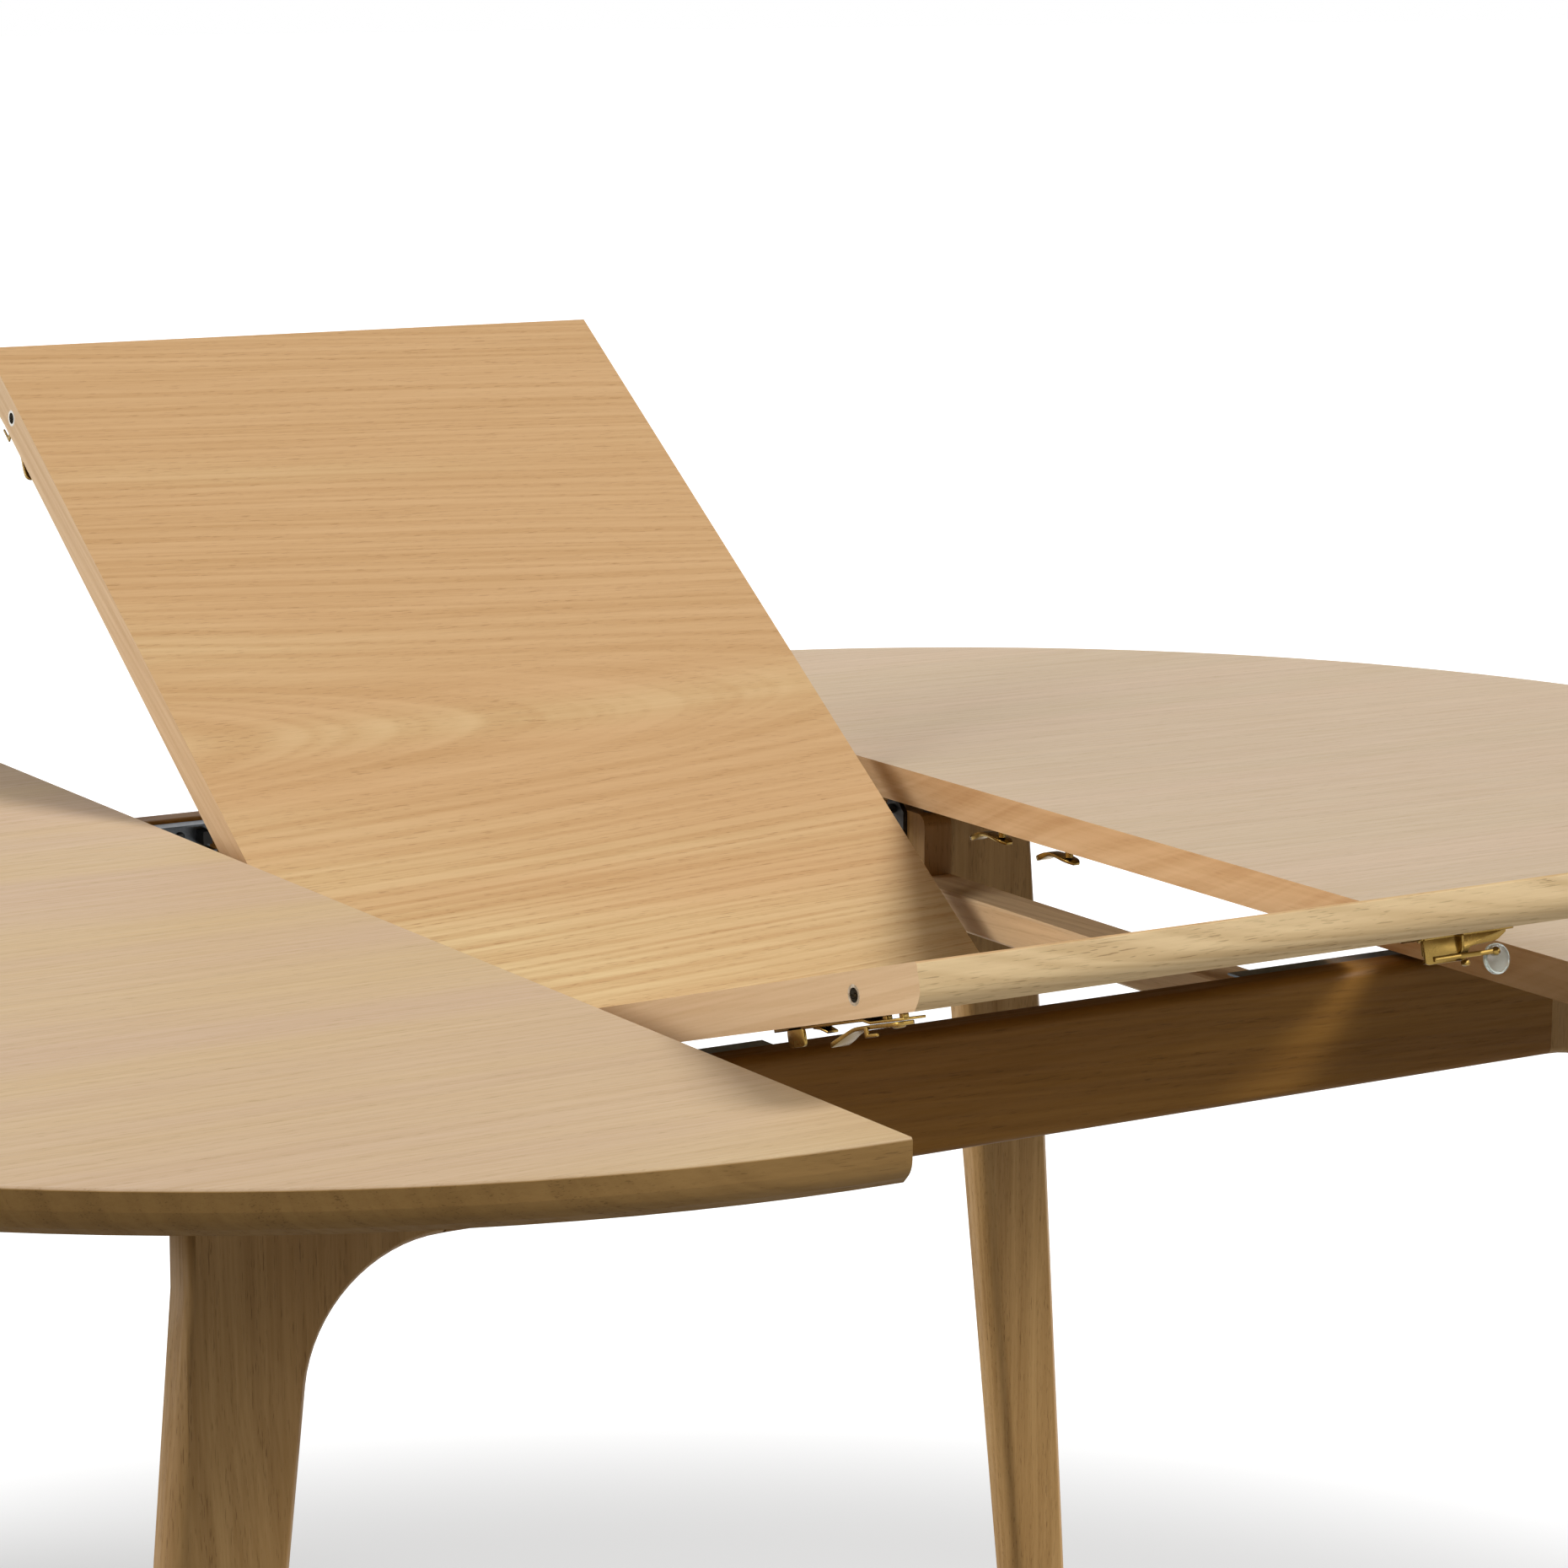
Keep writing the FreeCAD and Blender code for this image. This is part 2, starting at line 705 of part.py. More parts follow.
def leg(name, way, side):
    """Bracket head that sweeps into the apron, and a splayed shaft that swells below it."""
    body = new_body(name)
    neck = apron_bottom - size["leg_neck_drop"]
    floor = size["glide_height"]
    drop = apron_bottom - floor
    shoulder = apron_bottom - size["leg_shoulder_drop"]

    def outer_at(height):
        share = (shoulder - height) / (shoulder - floor)
        return leg_head_out + (leg_floor_out - leg_head_out) * share

    def inner_at(height):
        share = (apron_bottom - height) / drop
        return leg_head_in + (leg_floor_in - leg_head_in) * share

    outline = [(seam, apron_top), (leg_head_out, apron_top), (leg_head_out, shoulder),
               (outer_at(neck), neck), (inner_at(neck), neck),
               (leg_head_in, apron_bottom), (seam, apron_bottom)]
    outline = [(way * across, up) for across, up in outline]
    extrude(body, "XZ", lambda sketch: draw_polygon(sketch, outline),
            side * base_inside, side * size["base_half_depth"])
    round_edges(body, size["leg_arch_radius"],
                lambda edge: runs_along(edge, "y") and near(edge.BoundBox.ZMax, apron_bottom.number)
                and near(abs(edge.BoundBox.Center.x), leg_head_in.number))
    bevel_edges(body, size["leg_head_bevel"], lambda edge: is_head_outline(edge, neck))

    half_head = size["apron_thickness"] / 2
    head_middle = size["base_half_depth"] - half_head
    half_shaft = size["leg_thickness"] / 2
    head = body.Tip
    neck_face = [f"Face{index}" for index, face in enumerate(head.Shape.Faces, start=1)
                 if near(face.BoundBox.ZMax, neck.number)][0]
    swell = apron_bottom - size["leg_swell_drop"]
    foot_middle = head_middle + size["leg_floor_splay"]
    loft = body.newObject("PartDesign::AdditiveLoft", body.Name + "_shaft")
    loft.Profile = (head, [neck_face])
    loft.Sections = [
        shaft_section(body, swell, (way * inner_at(swell), way * outer_at(swell)),
                      (side * (head_middle - half_shaft), side * (head_middle + half_shaft))),
        shaft_section(body, floor, (way * leg_floor_in, way * leg_floor_out),
                      (side * (foot_middle - half_shaft), side * (foot_middle + half_shaft)))]
    loft.Ruled = True
    doc.recompute()
    place(body, (0, 0, 0))
    finish(body, name)


def is_head_outline(edge, neck):
    """Whether an edge runs round the head's outline, on its front or rear face, below the apron's top."""
    box = edge.BoundBox
    if box.YLength > HAIR or box.ZLength < HAIR and near(box.ZMax, neck.number):
        return False
    along_top = near(box.ZMin, apron_top.number)
    at_seam = box.XLength < HAIR and near(abs(box.Center.x), seam.number)
    return not along_top and not at_seam


def shaft_section(body, height, across, along):
    """One level cross-section of a leg's shaft."""
    sketch = new_sketch(body, "XY", height)
    draw_bevelled_box(sketch, across, along, size["leg_shaft_bevel"])
    return sketch


def foot_glides():
    """A plastic glide under the middle of each foot."""
    glides = []
    half_length = size["glide_length"] / 2
    half_width = size["glide_width"] / 2
    middle_x = (leg_floor_in + leg_floor_out) / 2
    middle_y = size["base_half_depth"] - size["apron_thickness"] / 2 + size["leg_floor_splay"]
    for side in (-1, 1):
        for way in (-1, 1):
            low = (way * middle_x - half_length, side * middle_y - half_width, 0)
            high = (way * middle_x + half_length, side * middle_y + half_width, size["glide_height"])
            glides.append(box_between("glide", low, high))
    finish(group("foot_glides", glides), "foot_glides")


# Leaf, each panel drawn flat with the fold along the X axis of its top face

def place_on_leaf(body, side):
    """Put a leaf piece at the fold and tilt it: the rear panel up at the rear, the front one up in front."""
    tilt = size["rear_panel_tilt"] if side > 0 else front_panel_tilt
    place(body, (0, fold_depth, fold_height), tilt, FreeCAD.Vector(side, 0, 0))


def is_leaf_rim(edge):
    return runs_along(edge, "x") and near(abs(edge.BoundBox.Center.y), leaf_reach.number)


def leaf_panel(name, side):
    body = new_body(name)
    near_edge = side * size["fold_gap"] / 2
    far_edge = side * leaf_reach
    half = leaf_half - size["lipping_thickness"]
    outline = ((near_edge, -size["top_thickness"]), (far_edge, -size["top_thickness"]), (far_edge, 0),
               (near_edge, 0))
    extrude(body, "YZ", lambda sketch: draw_polygon(sketch, outline), -half, half)
    shape_rim(body, is_leaf_rim)
    hole = size["barrel_radius"] + size["barrel_bore_gap"]
    deep = size["barrel_depth"] + size["barrel_bore_gap"]

    def barrel_holes(sketch):
        for way in (-1, 1):
            draw_disc(sketch, way * size["barrel_spread"], mid_board, hole)

    cut(body, "XZ", barrel_holes, near_edge, near_edge + side * deep)
    socket_y = side * pin_line
    cut(body, "YZ", lambda sketch: draw_disc(sketch, socket_y, mid_board, size["socket_outer_radius"]),
        -half, -leaf_half + size["socket_depth"])
    place_on_leaf(body, side)
    finish(body, name)


def leaf_lipping(name, side, way):
    body = new_body(name)
    near_edge = side * size["fold_gap"] / 2
    far_edge = side * leaf_reach
    outline = ((near_edge, -size["top_thickness"]), (far_edge, -size["top_thickness"]), (far_edge, 0),
               (near_edge, 0))
    ends = (way * (leaf_half - size["lipping_thickness"]), way * leaf_half)
    extrude(body, "YZ", lambda sketch: draw_polygon(sketch, outline), *ends)
    shape_rim(body, is_leaf_rim)
    if way < 0:
        socket_y = side * pin_line
        hole = size["socket_outer_radius"]
        cut(body, "YZ", lambda sketch: draw_disc(sketch, socket_y, mid_board, hole), *ends)
    place_on_leaf(body, side)
    finish(body, name)


def leaf_socket(name, side):
    """The ringed sleeve that takes a top's dowel pin."""
    body = new_body(name)
    socket_y = side * pin_line
    outer = size["socket_outer_radius"]
    bore = size["socket_bore_radius"]
    ends = (-leaf_half, -leaf_half + size["socket_depth"])
    extrude(body, "YZ", lambda sketch: draw_disc(sketch, socket_y, mid_board, outer), *ends)
    cut(body, "YZ", lambda sketch: draw_disc(sketch, socket_y, mid_board, bore), *ends)
    place_on_leaf(body, side)
    finish(body, name)


def leaf_barrels(name, side):
    """The brass barrels of the concealed hinges, let into a panel's folding edge."""
    barrels = []
    for way in (-1, 1):
        start = (way * size["barrel_spread"], side * size["fold_gap"] / 2, mid_board)
        barrels.append(rod("hinge_barrel", size["barrel_radius"], start, size["barrel_depth"],
                           FreeCAD.Vector(0, side, 0)))
    compound = group(name, barrels)
    place_on_leaf(compound, side)
    finish(compound, name)


def pivot_bracket(name, way):
    """Steel angle under the rear panel, with the stud that turns in the pivot plate."""
    body = new_body(name)
    under = -size["top_thickness"]
    sheet = size["ear_thickness"]
    outside = leaf_half - size["ear_inset"]
    inside = outside - size["bracket_flange_width"]
    centre = size["pivot_from_fold"]
    half_flange = size["bracket_flange_length"] / 2
    flange = ((way * inside, centre - half_flange), (way * outside, centre - half_flange),
              (way * outside, centre + half_flange), (way * inside, centre + half_flange))
    extrude(body, "XY", lambda sketch: draw_polygon(sketch, flange), under - sheet, under)
    half_ear = size["ear_half_width"]
    pivot_z = under - size["pivot_drop"]
    foot = pivot_z - half_ear
    ear = ((centre - half_ear, under), (centre + half_ear, under), (centre + half_ear, foot),
           (centre - half_ear, foot))
    ends = (way * (outside - sheet), way * outside)
    extrude(body, "YZ", lambda sketch: draw_polygon(sketch, ear), *ends)
    bevel_edges(body, size["ear_bevel"],
                lambda edge: runs_along(edge, "x") and near(edge.BoundBox.ZMax, foot.number))
    stud_end = plate_face + size["plate_thickness"] - size["stud_end_gap"]
    extrude(body, "YZ", lambda sketch: draw_disc(sketch, centre, pivot_z, size["stud_radius"]),
            way * (outside - sheet), way * stud_end)
    place_on_leaf(body, 1)
    finish(body, name)


def leaf_catch(name, side):
    """The catch under a panel's left edge: plate with a hooked tab and a pin, and the lever on the pin."""
    under = -size["top_thickness"]
    plate_under = under - size["sheet_thickness"]
    left = -leaf_half + size["catch_inset"]
    right = left + size["catch_width"]
    middle = (left + right) / 2
    stop = leaf_reach - size["catch_from_rim"]
    start = stop - size["catch_length"]
    tab_start = leaf_reach - size["catch_tab_from_rim"] - size["catch_tab_width"] / 2
    tab_stop = tab_start + size["catch_tab_width"]
    tab_low = plate_under - size["catch_tab_drop"]
    pin_y = side * (leaf_reach - size["catch_pin_from_rim"])
    lever_top = plate_under - size["catch_lever_gap"]

    plate = new_body("leaf_catch_plate_" + name)
    outline = ((left, side * start), (right, side * start), (right, side * stop), (left, side * stop))
    extrude(plate, "XY", lambda sketch: draw_polygon(sketch, outline), plate_under, under)
    tab = ((side * tab_start, under), (side * tab_stop, under), (side * tab_stop, tab_low),
           (side * tab_start, tab_low))
    extrude(plate, "YZ", lambda sketch: draw_polygon(sketch, tab), left, left + size["sheet_thickness"])
    round_edges(plate, size["catch_tab_round"],
                lambda edge: runs_along(edge, "x") and near(edge.BoundBox.ZMax, tab_low.number))
    extrude(plate, "XY", lambda sketch: draw_disc(sketch, middle, pin_y, size["lever_pin_radius"]),
            lever_top - size["lever_thickness"], plate_under)
    place_on_leaf(plate, side)
    finish(plate, "leaf_catch_plate_" + name)

    lever = catch_lever("leaf_catch_lever_" + name, middle, pin_y, -side, lever_top,
                        size["catch_lever_length"], size["catch_lever_slope"])
    place_on_leaf(lever, side)
    finish(lever, "leaf_catch_lever_" + name)


def disc_bracket():
    """The right-hand bracket under the front panel, with a downturned flange, and the clear disc on it."""
    under = -size["top_thickness"]
    plate_under = under - size["sheet_thickness"]
    right = leaf_half - size["disc_bracket_inset"]
    left = right - size["disc_bracket_length"]
    front = size["disc_bracket_from_rim"] - leaf_reach
    back = front + size["disc_bracket_width"]
    flange_right = left + size["disc_flange_length"]
    flange_low = plate_under - size["disc_flange_drop"]

    body = new_body("disc_bracket")
    plate = ((left, front), (right, front), (right, back), (left, back))
    extrude(body, "XY", lambda sketch: draw_polygon(sketch, plate), plate_under, under)
    flange = ((left, flange_low), (flange_right, flange_low), (flange_right, under), (left, under))
    extrude(body, "XZ", lambda sketch: draw_polygon(sketch, flange), front, front + size["sheet_thickness"])
    round_edges(body, size["disc_flange_round"],
                lambda edge: runs_along(edge, "y") and near(edge.BoundBox.ZMax, flange_low.number))
    place_on_leaf(body, -1)
    finish(body, "disc_bracket")

    disc = new_body("catch_disc")
    disc_x = left + size["disc_from_bracket_end"]
    disc_z = under - size["disc_drop"]
    extrude(disc, "XZ", lambda sketch: draw_disc(sketch, disc_x, disc_z, size["disc_radius"]),
            front - size["disc_thickness"], front)
    place_on_leaf(disc, -1)
    finish(disc, "catch_disc")


def build():
    """Make every sub-part."""
    for end, way in (("left", -1), ("right", 1)):
        top_panel(end + "_top_panel", way)
        top_lipping(end + "_top_lipping", way)
        rail("crossbar_" + end, way, crossbar_face, size["crossbar_width"], size["crossbar_height"])
        rail("end_rail_" + end, way, end_rail_face, size["end_rail_width"], size["end_rail_height"])
        pivot_block("pivot_block_" + end, way)
        pivot_plate("pivot_plate_" + end, way)
        pivot_bracket("pivot_bracket_" + end, way)
        for where, side in (("front", -1), ("rear", 1)):
            leg(f"{where}_{end}_leg", way, side)
            runners(end, way, where, side)
            leaf_lipping(f"leaf_{where}_lipping_{end}", side, way)
    for where, side in (("front", -1), ("rear", 1)):
        apron(where + "_apron", side)
        leaf_panel(f"leaf_{where}_panel", side)
        leaf_barrels(f"leaf_{where}_barrels", side)
        leaf_socket(f"leaf_{where}_socket", side)
        leaf_catch(where, side)
    for number, where in enumerate(("front", "rear")):
        top_catch(where, number)
    top_pins()
    runner_stops()
    foot_glides()
    disc_bracket()


def check():
    """Stop if anything failed to recompute or any sub-part has no valid solid."""
    doc.recompute()
    for thing in doc.Objects:
        if "Invalid" in thing.State or "Error" in thing.State:
            raise RuntimeError(f"{thing.Label} failed: {thing.State}")
    for thing in finished:
        if thing.Shape.isNull() or not thing.Shape.isValid() or not thing.Shape.Solids:
            raise RuntimeError(f"{thing.Label} has no valid solid")


build()
check()
os.makedirs("parts", exist_ok=True)
for thing in finished:
    thing.Shape.exportStep(f"parts/{thing.Label}.step")
print(len(finished), "sub-parts")
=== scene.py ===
import json
import math

import bmesh
import bpy
from mathutils import Matrix, Vector


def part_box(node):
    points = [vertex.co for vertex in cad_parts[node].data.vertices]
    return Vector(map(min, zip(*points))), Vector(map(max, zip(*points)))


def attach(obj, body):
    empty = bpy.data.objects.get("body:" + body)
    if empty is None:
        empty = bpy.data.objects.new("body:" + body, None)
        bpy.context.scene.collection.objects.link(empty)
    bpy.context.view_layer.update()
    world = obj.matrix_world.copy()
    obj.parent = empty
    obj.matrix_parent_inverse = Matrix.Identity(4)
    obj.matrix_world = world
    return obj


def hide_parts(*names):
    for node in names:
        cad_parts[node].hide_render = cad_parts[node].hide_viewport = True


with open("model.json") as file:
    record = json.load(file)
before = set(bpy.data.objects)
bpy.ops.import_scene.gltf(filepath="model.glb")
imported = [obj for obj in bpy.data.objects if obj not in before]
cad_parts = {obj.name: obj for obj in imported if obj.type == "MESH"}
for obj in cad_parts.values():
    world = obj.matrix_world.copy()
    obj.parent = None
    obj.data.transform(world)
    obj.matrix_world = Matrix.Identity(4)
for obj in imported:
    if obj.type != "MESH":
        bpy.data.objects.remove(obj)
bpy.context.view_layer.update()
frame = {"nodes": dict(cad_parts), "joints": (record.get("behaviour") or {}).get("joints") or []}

scene = bpy.context.scene

# Places and directions read from the frame

MM = 0.001
TOP_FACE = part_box("left_top_panel")[1].z
JOINTS = {joint["name"]: joint for joint in frame["joints"]}
FOLD = Vector(JOINTS["leaf_fold"]["pos_m"])
REAR_UP = -Vector(JOINTS["rear_leaf_lever_turn"]["axis"])
FRONT_UP = Vector(JOINTS["front_leaf_lever_turn"]["axis"])
REAR_TILT = -math.atan2(REAR_UP.y, REAR_UP.z)
FRONT_TILT = -math.atan2(FRONT_UP.y, FRONT_UP.z)


def panel_frame(up):
    """A leaf panel's own frame: its origin at the fold, z up from its face, and x along the table."""
    z = up.normalized()
    y = z.cross(Vector((1, 0, 0))).normalized()
    turn = Matrix((y.cross(z), y, z)).transposed().to_4x4()
    return Matrix.Translation(FOLD) @ turn


TABLE = Matrix.Identity(4)
PANELS = {"rear": panel_frame(REAR_UP), "front": panel_frame(FRONT_UP)}


# Colours

def rgb(red, green, blue):
    """A colour written as it shows, turned into the linear values that a shader takes."""
    def linear(value):
        value = value / 255
        return value / 12.92 if value <= 0.04045 else ((value + 0.055) / 1.055) ** 2.4
    return (linear(red), linear(green), linear(blue), 1.0)


# Node building

class Graph:
    """The nodes of a material or of the world, built by short calls."""

    def __init__(self, owner, output="ShaderNodeOutputMaterial"):
        self.owner = owner
        owner.use_nodes = True
        self.tree = owner.node_tree
        self.tree.nodes.clear()
        self.output = self.add(output)

    def add(self, kind, inputs=(), **properties):
        node = self.tree.nodes.new(kind)
        for name, value in properties.items():
            setattr(node, name, value)
        for name, value in dict(inputs).items():
            self.feed(node, name, value)
        return node

    def feed(self, node, name, value):
        socket = node.inputs[name]
        if isinstance(value, bpy.types.NodeSocket):
            self.tree.links.new(value, socket)
        elif isinstance(value, bpy.types.Node):
            self.tree.links.new(value.outputs[0], socket)
        else:
            socket.default_value = value

    def math(self, operation, *values):
        node = self.add("ShaderNodeMath", operation=operation)
        for index, value in enumerate(values):
            self.feed(node, index, value)
        return node.outputs[0]

    def place(self, origin=(0, 0, 0), turn=(0, 0, 0)):
        """Object coordinates, moved to an origin and turned."""
        coordinates = self.add("ShaderNodeTexCoord").outputs["Object"]
        return self.add("ShaderNodeMapping",
                        {"Vector": coordinates, "Location": origin, "Rotation": turn},
                        vector_type="TEXTURE").outputs[0]

    def stretch(self, vector, scale):
        return self.add("ShaderNodeVectorMath", {0: vector, 1: scale}, operation="MULTIPLY").outputs[0]

    def noise(self, vector, scale, detail=3.0):
        stretched = self.stretch(vector, scale)
        return self.add("ShaderNodeTexNoise", {"Vector": stretched, "Scale": 1.0, "Detail": detail,
                                               "Roughness": 0.55}).outputs[0]

    def steps(self, value, low, high, to_low=0.0, to_high=1.0):
        """A smooth rise from one value to another."""
        return self.add("ShaderNodeMapRange", {"Value": value, "From Min": low, "From Max": high,
                                               "To Min": to_low, "To Max": to_high},
                        interpolation_type="SMOOTHSTEP").outputs[0]

    def mix(self, factor, first, second):
        node = self.add("ShaderNodeMix", data_type="RGBA", clamp_factor=True)
        for index, value in ((0, factor), (6, first), (7, second)):
            self.feed(node, index, value)
        return node.outputs[2]

    def seen(self):
        """1 where a ray of the camera, or one mirrored or let through by a piece, meets the surface."""
        path = self.add("ShaderNodeLightPath").outputs
        indirect = self.math("MAXIMUM", path["Is Glossy Ray"], path["Is Transmission Ray"])
        return self.math("MAXIMUM", path["Is Camera Ray"], indirect)

    def principled(self, **inputs):
        """A surface of the general shader, whose inputs are written with _ for each space."""
        named = {name.replace("_", " "): value for name, value in inputs.items()}
        return self.surface(self.add("ShaderNodeBsdfPrincipled", named))

    def bump(self, height, strength, distance):
        return self.add("ShaderNodeBump", {"Height": height, "Strength": strength, "Distance": distance})

    def surface(self, shader):
        self.feed(self.output, "Surface", shader)
        return self.owner


def new_material(name):
    """The nodes of a new material."""
    return Graph(bpy.data.materials.new(name))


# Wood

def turned(tilt, along_y):
    """Euler angles of a grain frame tilted about X, its grain along X or, where asked, along Y."""
    quarter = math.pi / 2 if along_y else 0.0
    return (Matrix.Rotation(tilt, 3, "X") @ Matrix.Rotation(quarter, 3, "Z")).to_euler()


class Grain:
    """The figure of a board: growth rings bent by slow noise, streaks of fibre, and short dark pores.

    The rings lie round a heart that runs along the grain, x, and tapers, which draws arches on a board
    that is cut near it. The places of origin and heart are in metres, and rings is how many noise steps
    a metre of radius has. The figure, streaks and pores say how dark each is, and drift shifts the tint
    from one side of the board to the other."""

    WAVE = 0.02

    def __init__(self, graph, origin, turn, heart=(0.3, -0.14), rings=230.0, taper=0.05, figure=0.5,
                 streaks=0.3, pores=0.5, drift=0.0):
        self.graph = graph
        self.pores = pores
        place = graph.place(origin, turn)
        swirl = graph.add("ShaderNodeTexNoise",
                          {"Vector": graph.stretch(place, (1.3, 6.0, 6.0)), "Scale": 1.0, "Detail": 2.0,
                           "Roughness": 0.5}).outputs["Color"]
        centred = graph.add("ShaderNodeVectorMath", {0: swirl, 1: (0.5, 0.5, 0.5)},
                            operation="SUBTRACT")
        sway = graph.stretch(centred, (0.0, self.WAVE, self.WAVE))
        grain = graph.add("ShaderNodeVectorMath", {0: place, 1: sway}, operation="ADD").outputs[0]
        self.plain = graph.add("ShaderNodeSeparateXYZ", {0: place}).outputs
        split = graph.add("ShaderNodeSeparateXYZ", {0: grain}).outputs

        across = graph.math("SUBTRACT", split[1], heart[0])
        deep = graph.math("SUBTRACT", split[2], heart[1])
        squared = graph.math("ADD", graph.math("MULTIPLY", across, across),
                             graph.math("MULTIPLY", deep, deep))
        radius = graph.math("ADD", graph.math("SQRT", squared), graph.math("MULTIPLY", split[0], taper))
        ring = graph.add("ShaderNodeTexNoise", {"W": graph.math("MULTIPLY", radius, rings), "Scale": 1.0,
                                                "Detail": 3.0, "Roughness": 0.62}, noise_dimensions="1D")
        ring = graph.steps(ring, 0.36, 0.66)

        zone = graph.noise(grain, (0.9, 9.0, 9.0), detail=2.0)
        zone = graph.math("ADD", zone, graph.math("MULTIPLY", self.plain[1], drift))
        self.zone = graph.steps(zone, 0.36, 0.64)
        bands = graph.steps(graph.noise(grain, (2.2, 75.0, 75.0)), 0.34, 0.66)
        self.fibres = graph.steps(graph.noise(grain, (14.0, 520.0, 520.0), detail=2.0), 0.34, 0.66)
        dashes = graph.noise(grain, (95.0, 1500.0, 1500.0), detail=1.0)
        early = graph.math("ADD", graph.math("MULTIPLY", ring, 0.8), 0.2)
        self.dashes = graph.math("MULTIPLY", graph.steps(dashes, 0.6, 0.7), early)

        amount = graph.math("MULTIPLY", ring, figure)
        amount = graph.math("ADD", amount, graph.math("MULTIPLY", bands, streaks))
        self.amount = graph.math("ADD", amount, graph.math("MULTIPLY", self.fibres, 0.6 * streaks))

    def stain(self, tones):
        """The figure in two tints of light wood, the dark of a ring and the colour of a pore."""
        first, second, dark, pore = tones
        tint = self.graph.mix(self.amount, self.graph.mix(self.zone, first, second), dark)
        return self.graph.mix(self.graph.math("MULTIPLY", self.dashes, self.pores), tint, pore)


# How far below a face the tones of its veneer give way to those of the rim, which are painted shade on the
# tops and painted highlight on the leaves

VENEER = (-0.4 * MM, -1.2 * MM)


def wood(name, hues, rim=None, butt=None, butt_cut=None, shine=0.12, **cut):
    """Oak, with its rim's tones below a veneered face, and another piece's figure on its butt edge. The
    rim's tones are a painted shade on the tops and a painted highlight on the leaves.

    A face's veneer ends just under z = 0 in the board's own frame, and a butt edge looks along X."""
    graph = new_material(name)
    grain = Grain(graph, **cut)
    colour = grain.stain(hues)
    if rim:
        below = graph.steps(grain.plain[2], *VENEER)
        colour = graph.mix(below, colour, grain.stain(rim))
    if butt:
        normal = graph.add("ShaderNodeTexCoord").outputs["Normal"]
        facing = graph.add("ShaderNodeSeparateXYZ", {0: normal}).outputs[0]
        edge = graph.steps(graph.math("ABSOLUTE", facing), 0.6, 0.8)
        colour = graph.mix(edge, colour, Grain(graph, **butt_cut).stain(butt))
    relief = graph.math("SUBTRACT", graph.math("MULTIPLY", grain.fibres, 0.3), grain.dashes)
    rough = graph.steps(graph.math("ADD", grain.fibres, grain.dashes), 0.0, 1.6, 0.45, 0.62)
    return graph.principled(Base_Color=colour, Roughness=rough, Specular_IOR_Level=shine,
                            Normal=graph.bump(relief, 0.1, 0.3 * MM))


# Each palette: two tints of light wood, the dark of a ring, the colour of a pore

BEIGE = (rgb(207, 180, 140), rgb(204, 176, 147), rgb(186, 155, 118), rgb(154, 125, 89))
# the right top: the same oak, its greyer, pinker tints a painted sheen of its grazing view
ROSE_BEIGE_PAINTED_SHEEN = (rgb(199, 177, 148), rgb(203, 179, 152), rgb(180, 155, 127), rgb(152, 127, 100))
# the tops' rim: the oak's own figure, darkened as painted shade on the edge that faces the front
RIM_WITH_PAINTED_SHADE = (rgb(158, 124, 75), rgb(146, 112, 64), rgb(110, 80, 41), rgb(68, 47, 22))
HONEY = (rgb(218, 193, 146), rgb(206, 168, 124), rgb(189, 149, 102), rgb(150, 112, 70))
# the leaves' rim: the leaf oak made lighter, a painted highlight where the tilted edge catches the light
LEAF_RIM_PAINTED_HIGHLIGHT = (rgb(236, 209, 164), rgb(226, 198, 152), rgb(192, 160, 114), rgb(126, 96, 58))
BUTT = (rgb(222, 190, 149), rgb(215, 178, 134), rgb(190, 149, 104), rgb(162, 122, 82))
CREAM = (rgb(219, 191, 155), rgb(213, 182, 144), rgb(196, 162, 122), rgb(178, 144, 106))
LEG = (rgb(184, 147, 95), rgb(174, 135, 83), rgb(146, 109, 61), rgb(96, 68, 35))
# the aprons: a deeper brown hue of their own, darkened further as painted shade under the tops and the
# leaf
APRON_WITH_PAINTED_SHADE = (rgb(148, 106, 45), rgb(138, 94, 36), rgb(111, 73, 24), rgb(73, 46, 15))
RAIL = (rgb(238, 208, 166), rgb(230, 198, 154), rgb(208, 172, 130), rgb(172, 136, 96))

# How each board is cut

LEVEL = turned(0.0, False)
CROSSWISE = turned(0.0, True)
UPRIGHT = (0.0, math.pi / 2, 0.0)

LEFT_CUT = dict(origin=(-0.4, 0.1, TOP_FACE), turn=LEVEL, heart=(0.5, -0.3), rings=150.0, figure=0.22,
                streaks=0.16, pores=0.4)
RIGHT_CUT = dict(origin=(0.5, -0.2, TOP_FACE), turn=LEVEL, heart=(-0.5, -0.3), rings=150.0, figure=0.18,
                 streaks=0.14, pores=0.35)
REAR_CUT = dict(origin=FOLD, turn=turned(REAR_TILT, False), heart=(0.24, -0.09), figure=0.46,
                streaks=0.24, pores=0.5, drift=0.4)
FRONT_CUT = dict(origin=FOLD, turn=turned(FRONT_TILT, False), heart=(-0.2, -0.12), figure=0.46,
                 streaks=0.24, pores=0.6)
BUTT_CUT = dict(origin=(0.0, 0.0, 0.3), turn=CROSSWISE, heart=(0.26, 0.33), rings=300.0, taper=0.07,
                figure=0.42, pores=0.25)
REAR_BUTT_CUT = dict(origin=FOLD, turn=turned(REAR_TILT, True), heart=(0.4, -0.3), figure=0.4, pores=0.2)
FRONT_BUTT_CUT = dict(origin=FOLD, turn=turned(FRONT_TILT, True), heart=(0.4, -0.3), figure=0.4, pores=0.2)

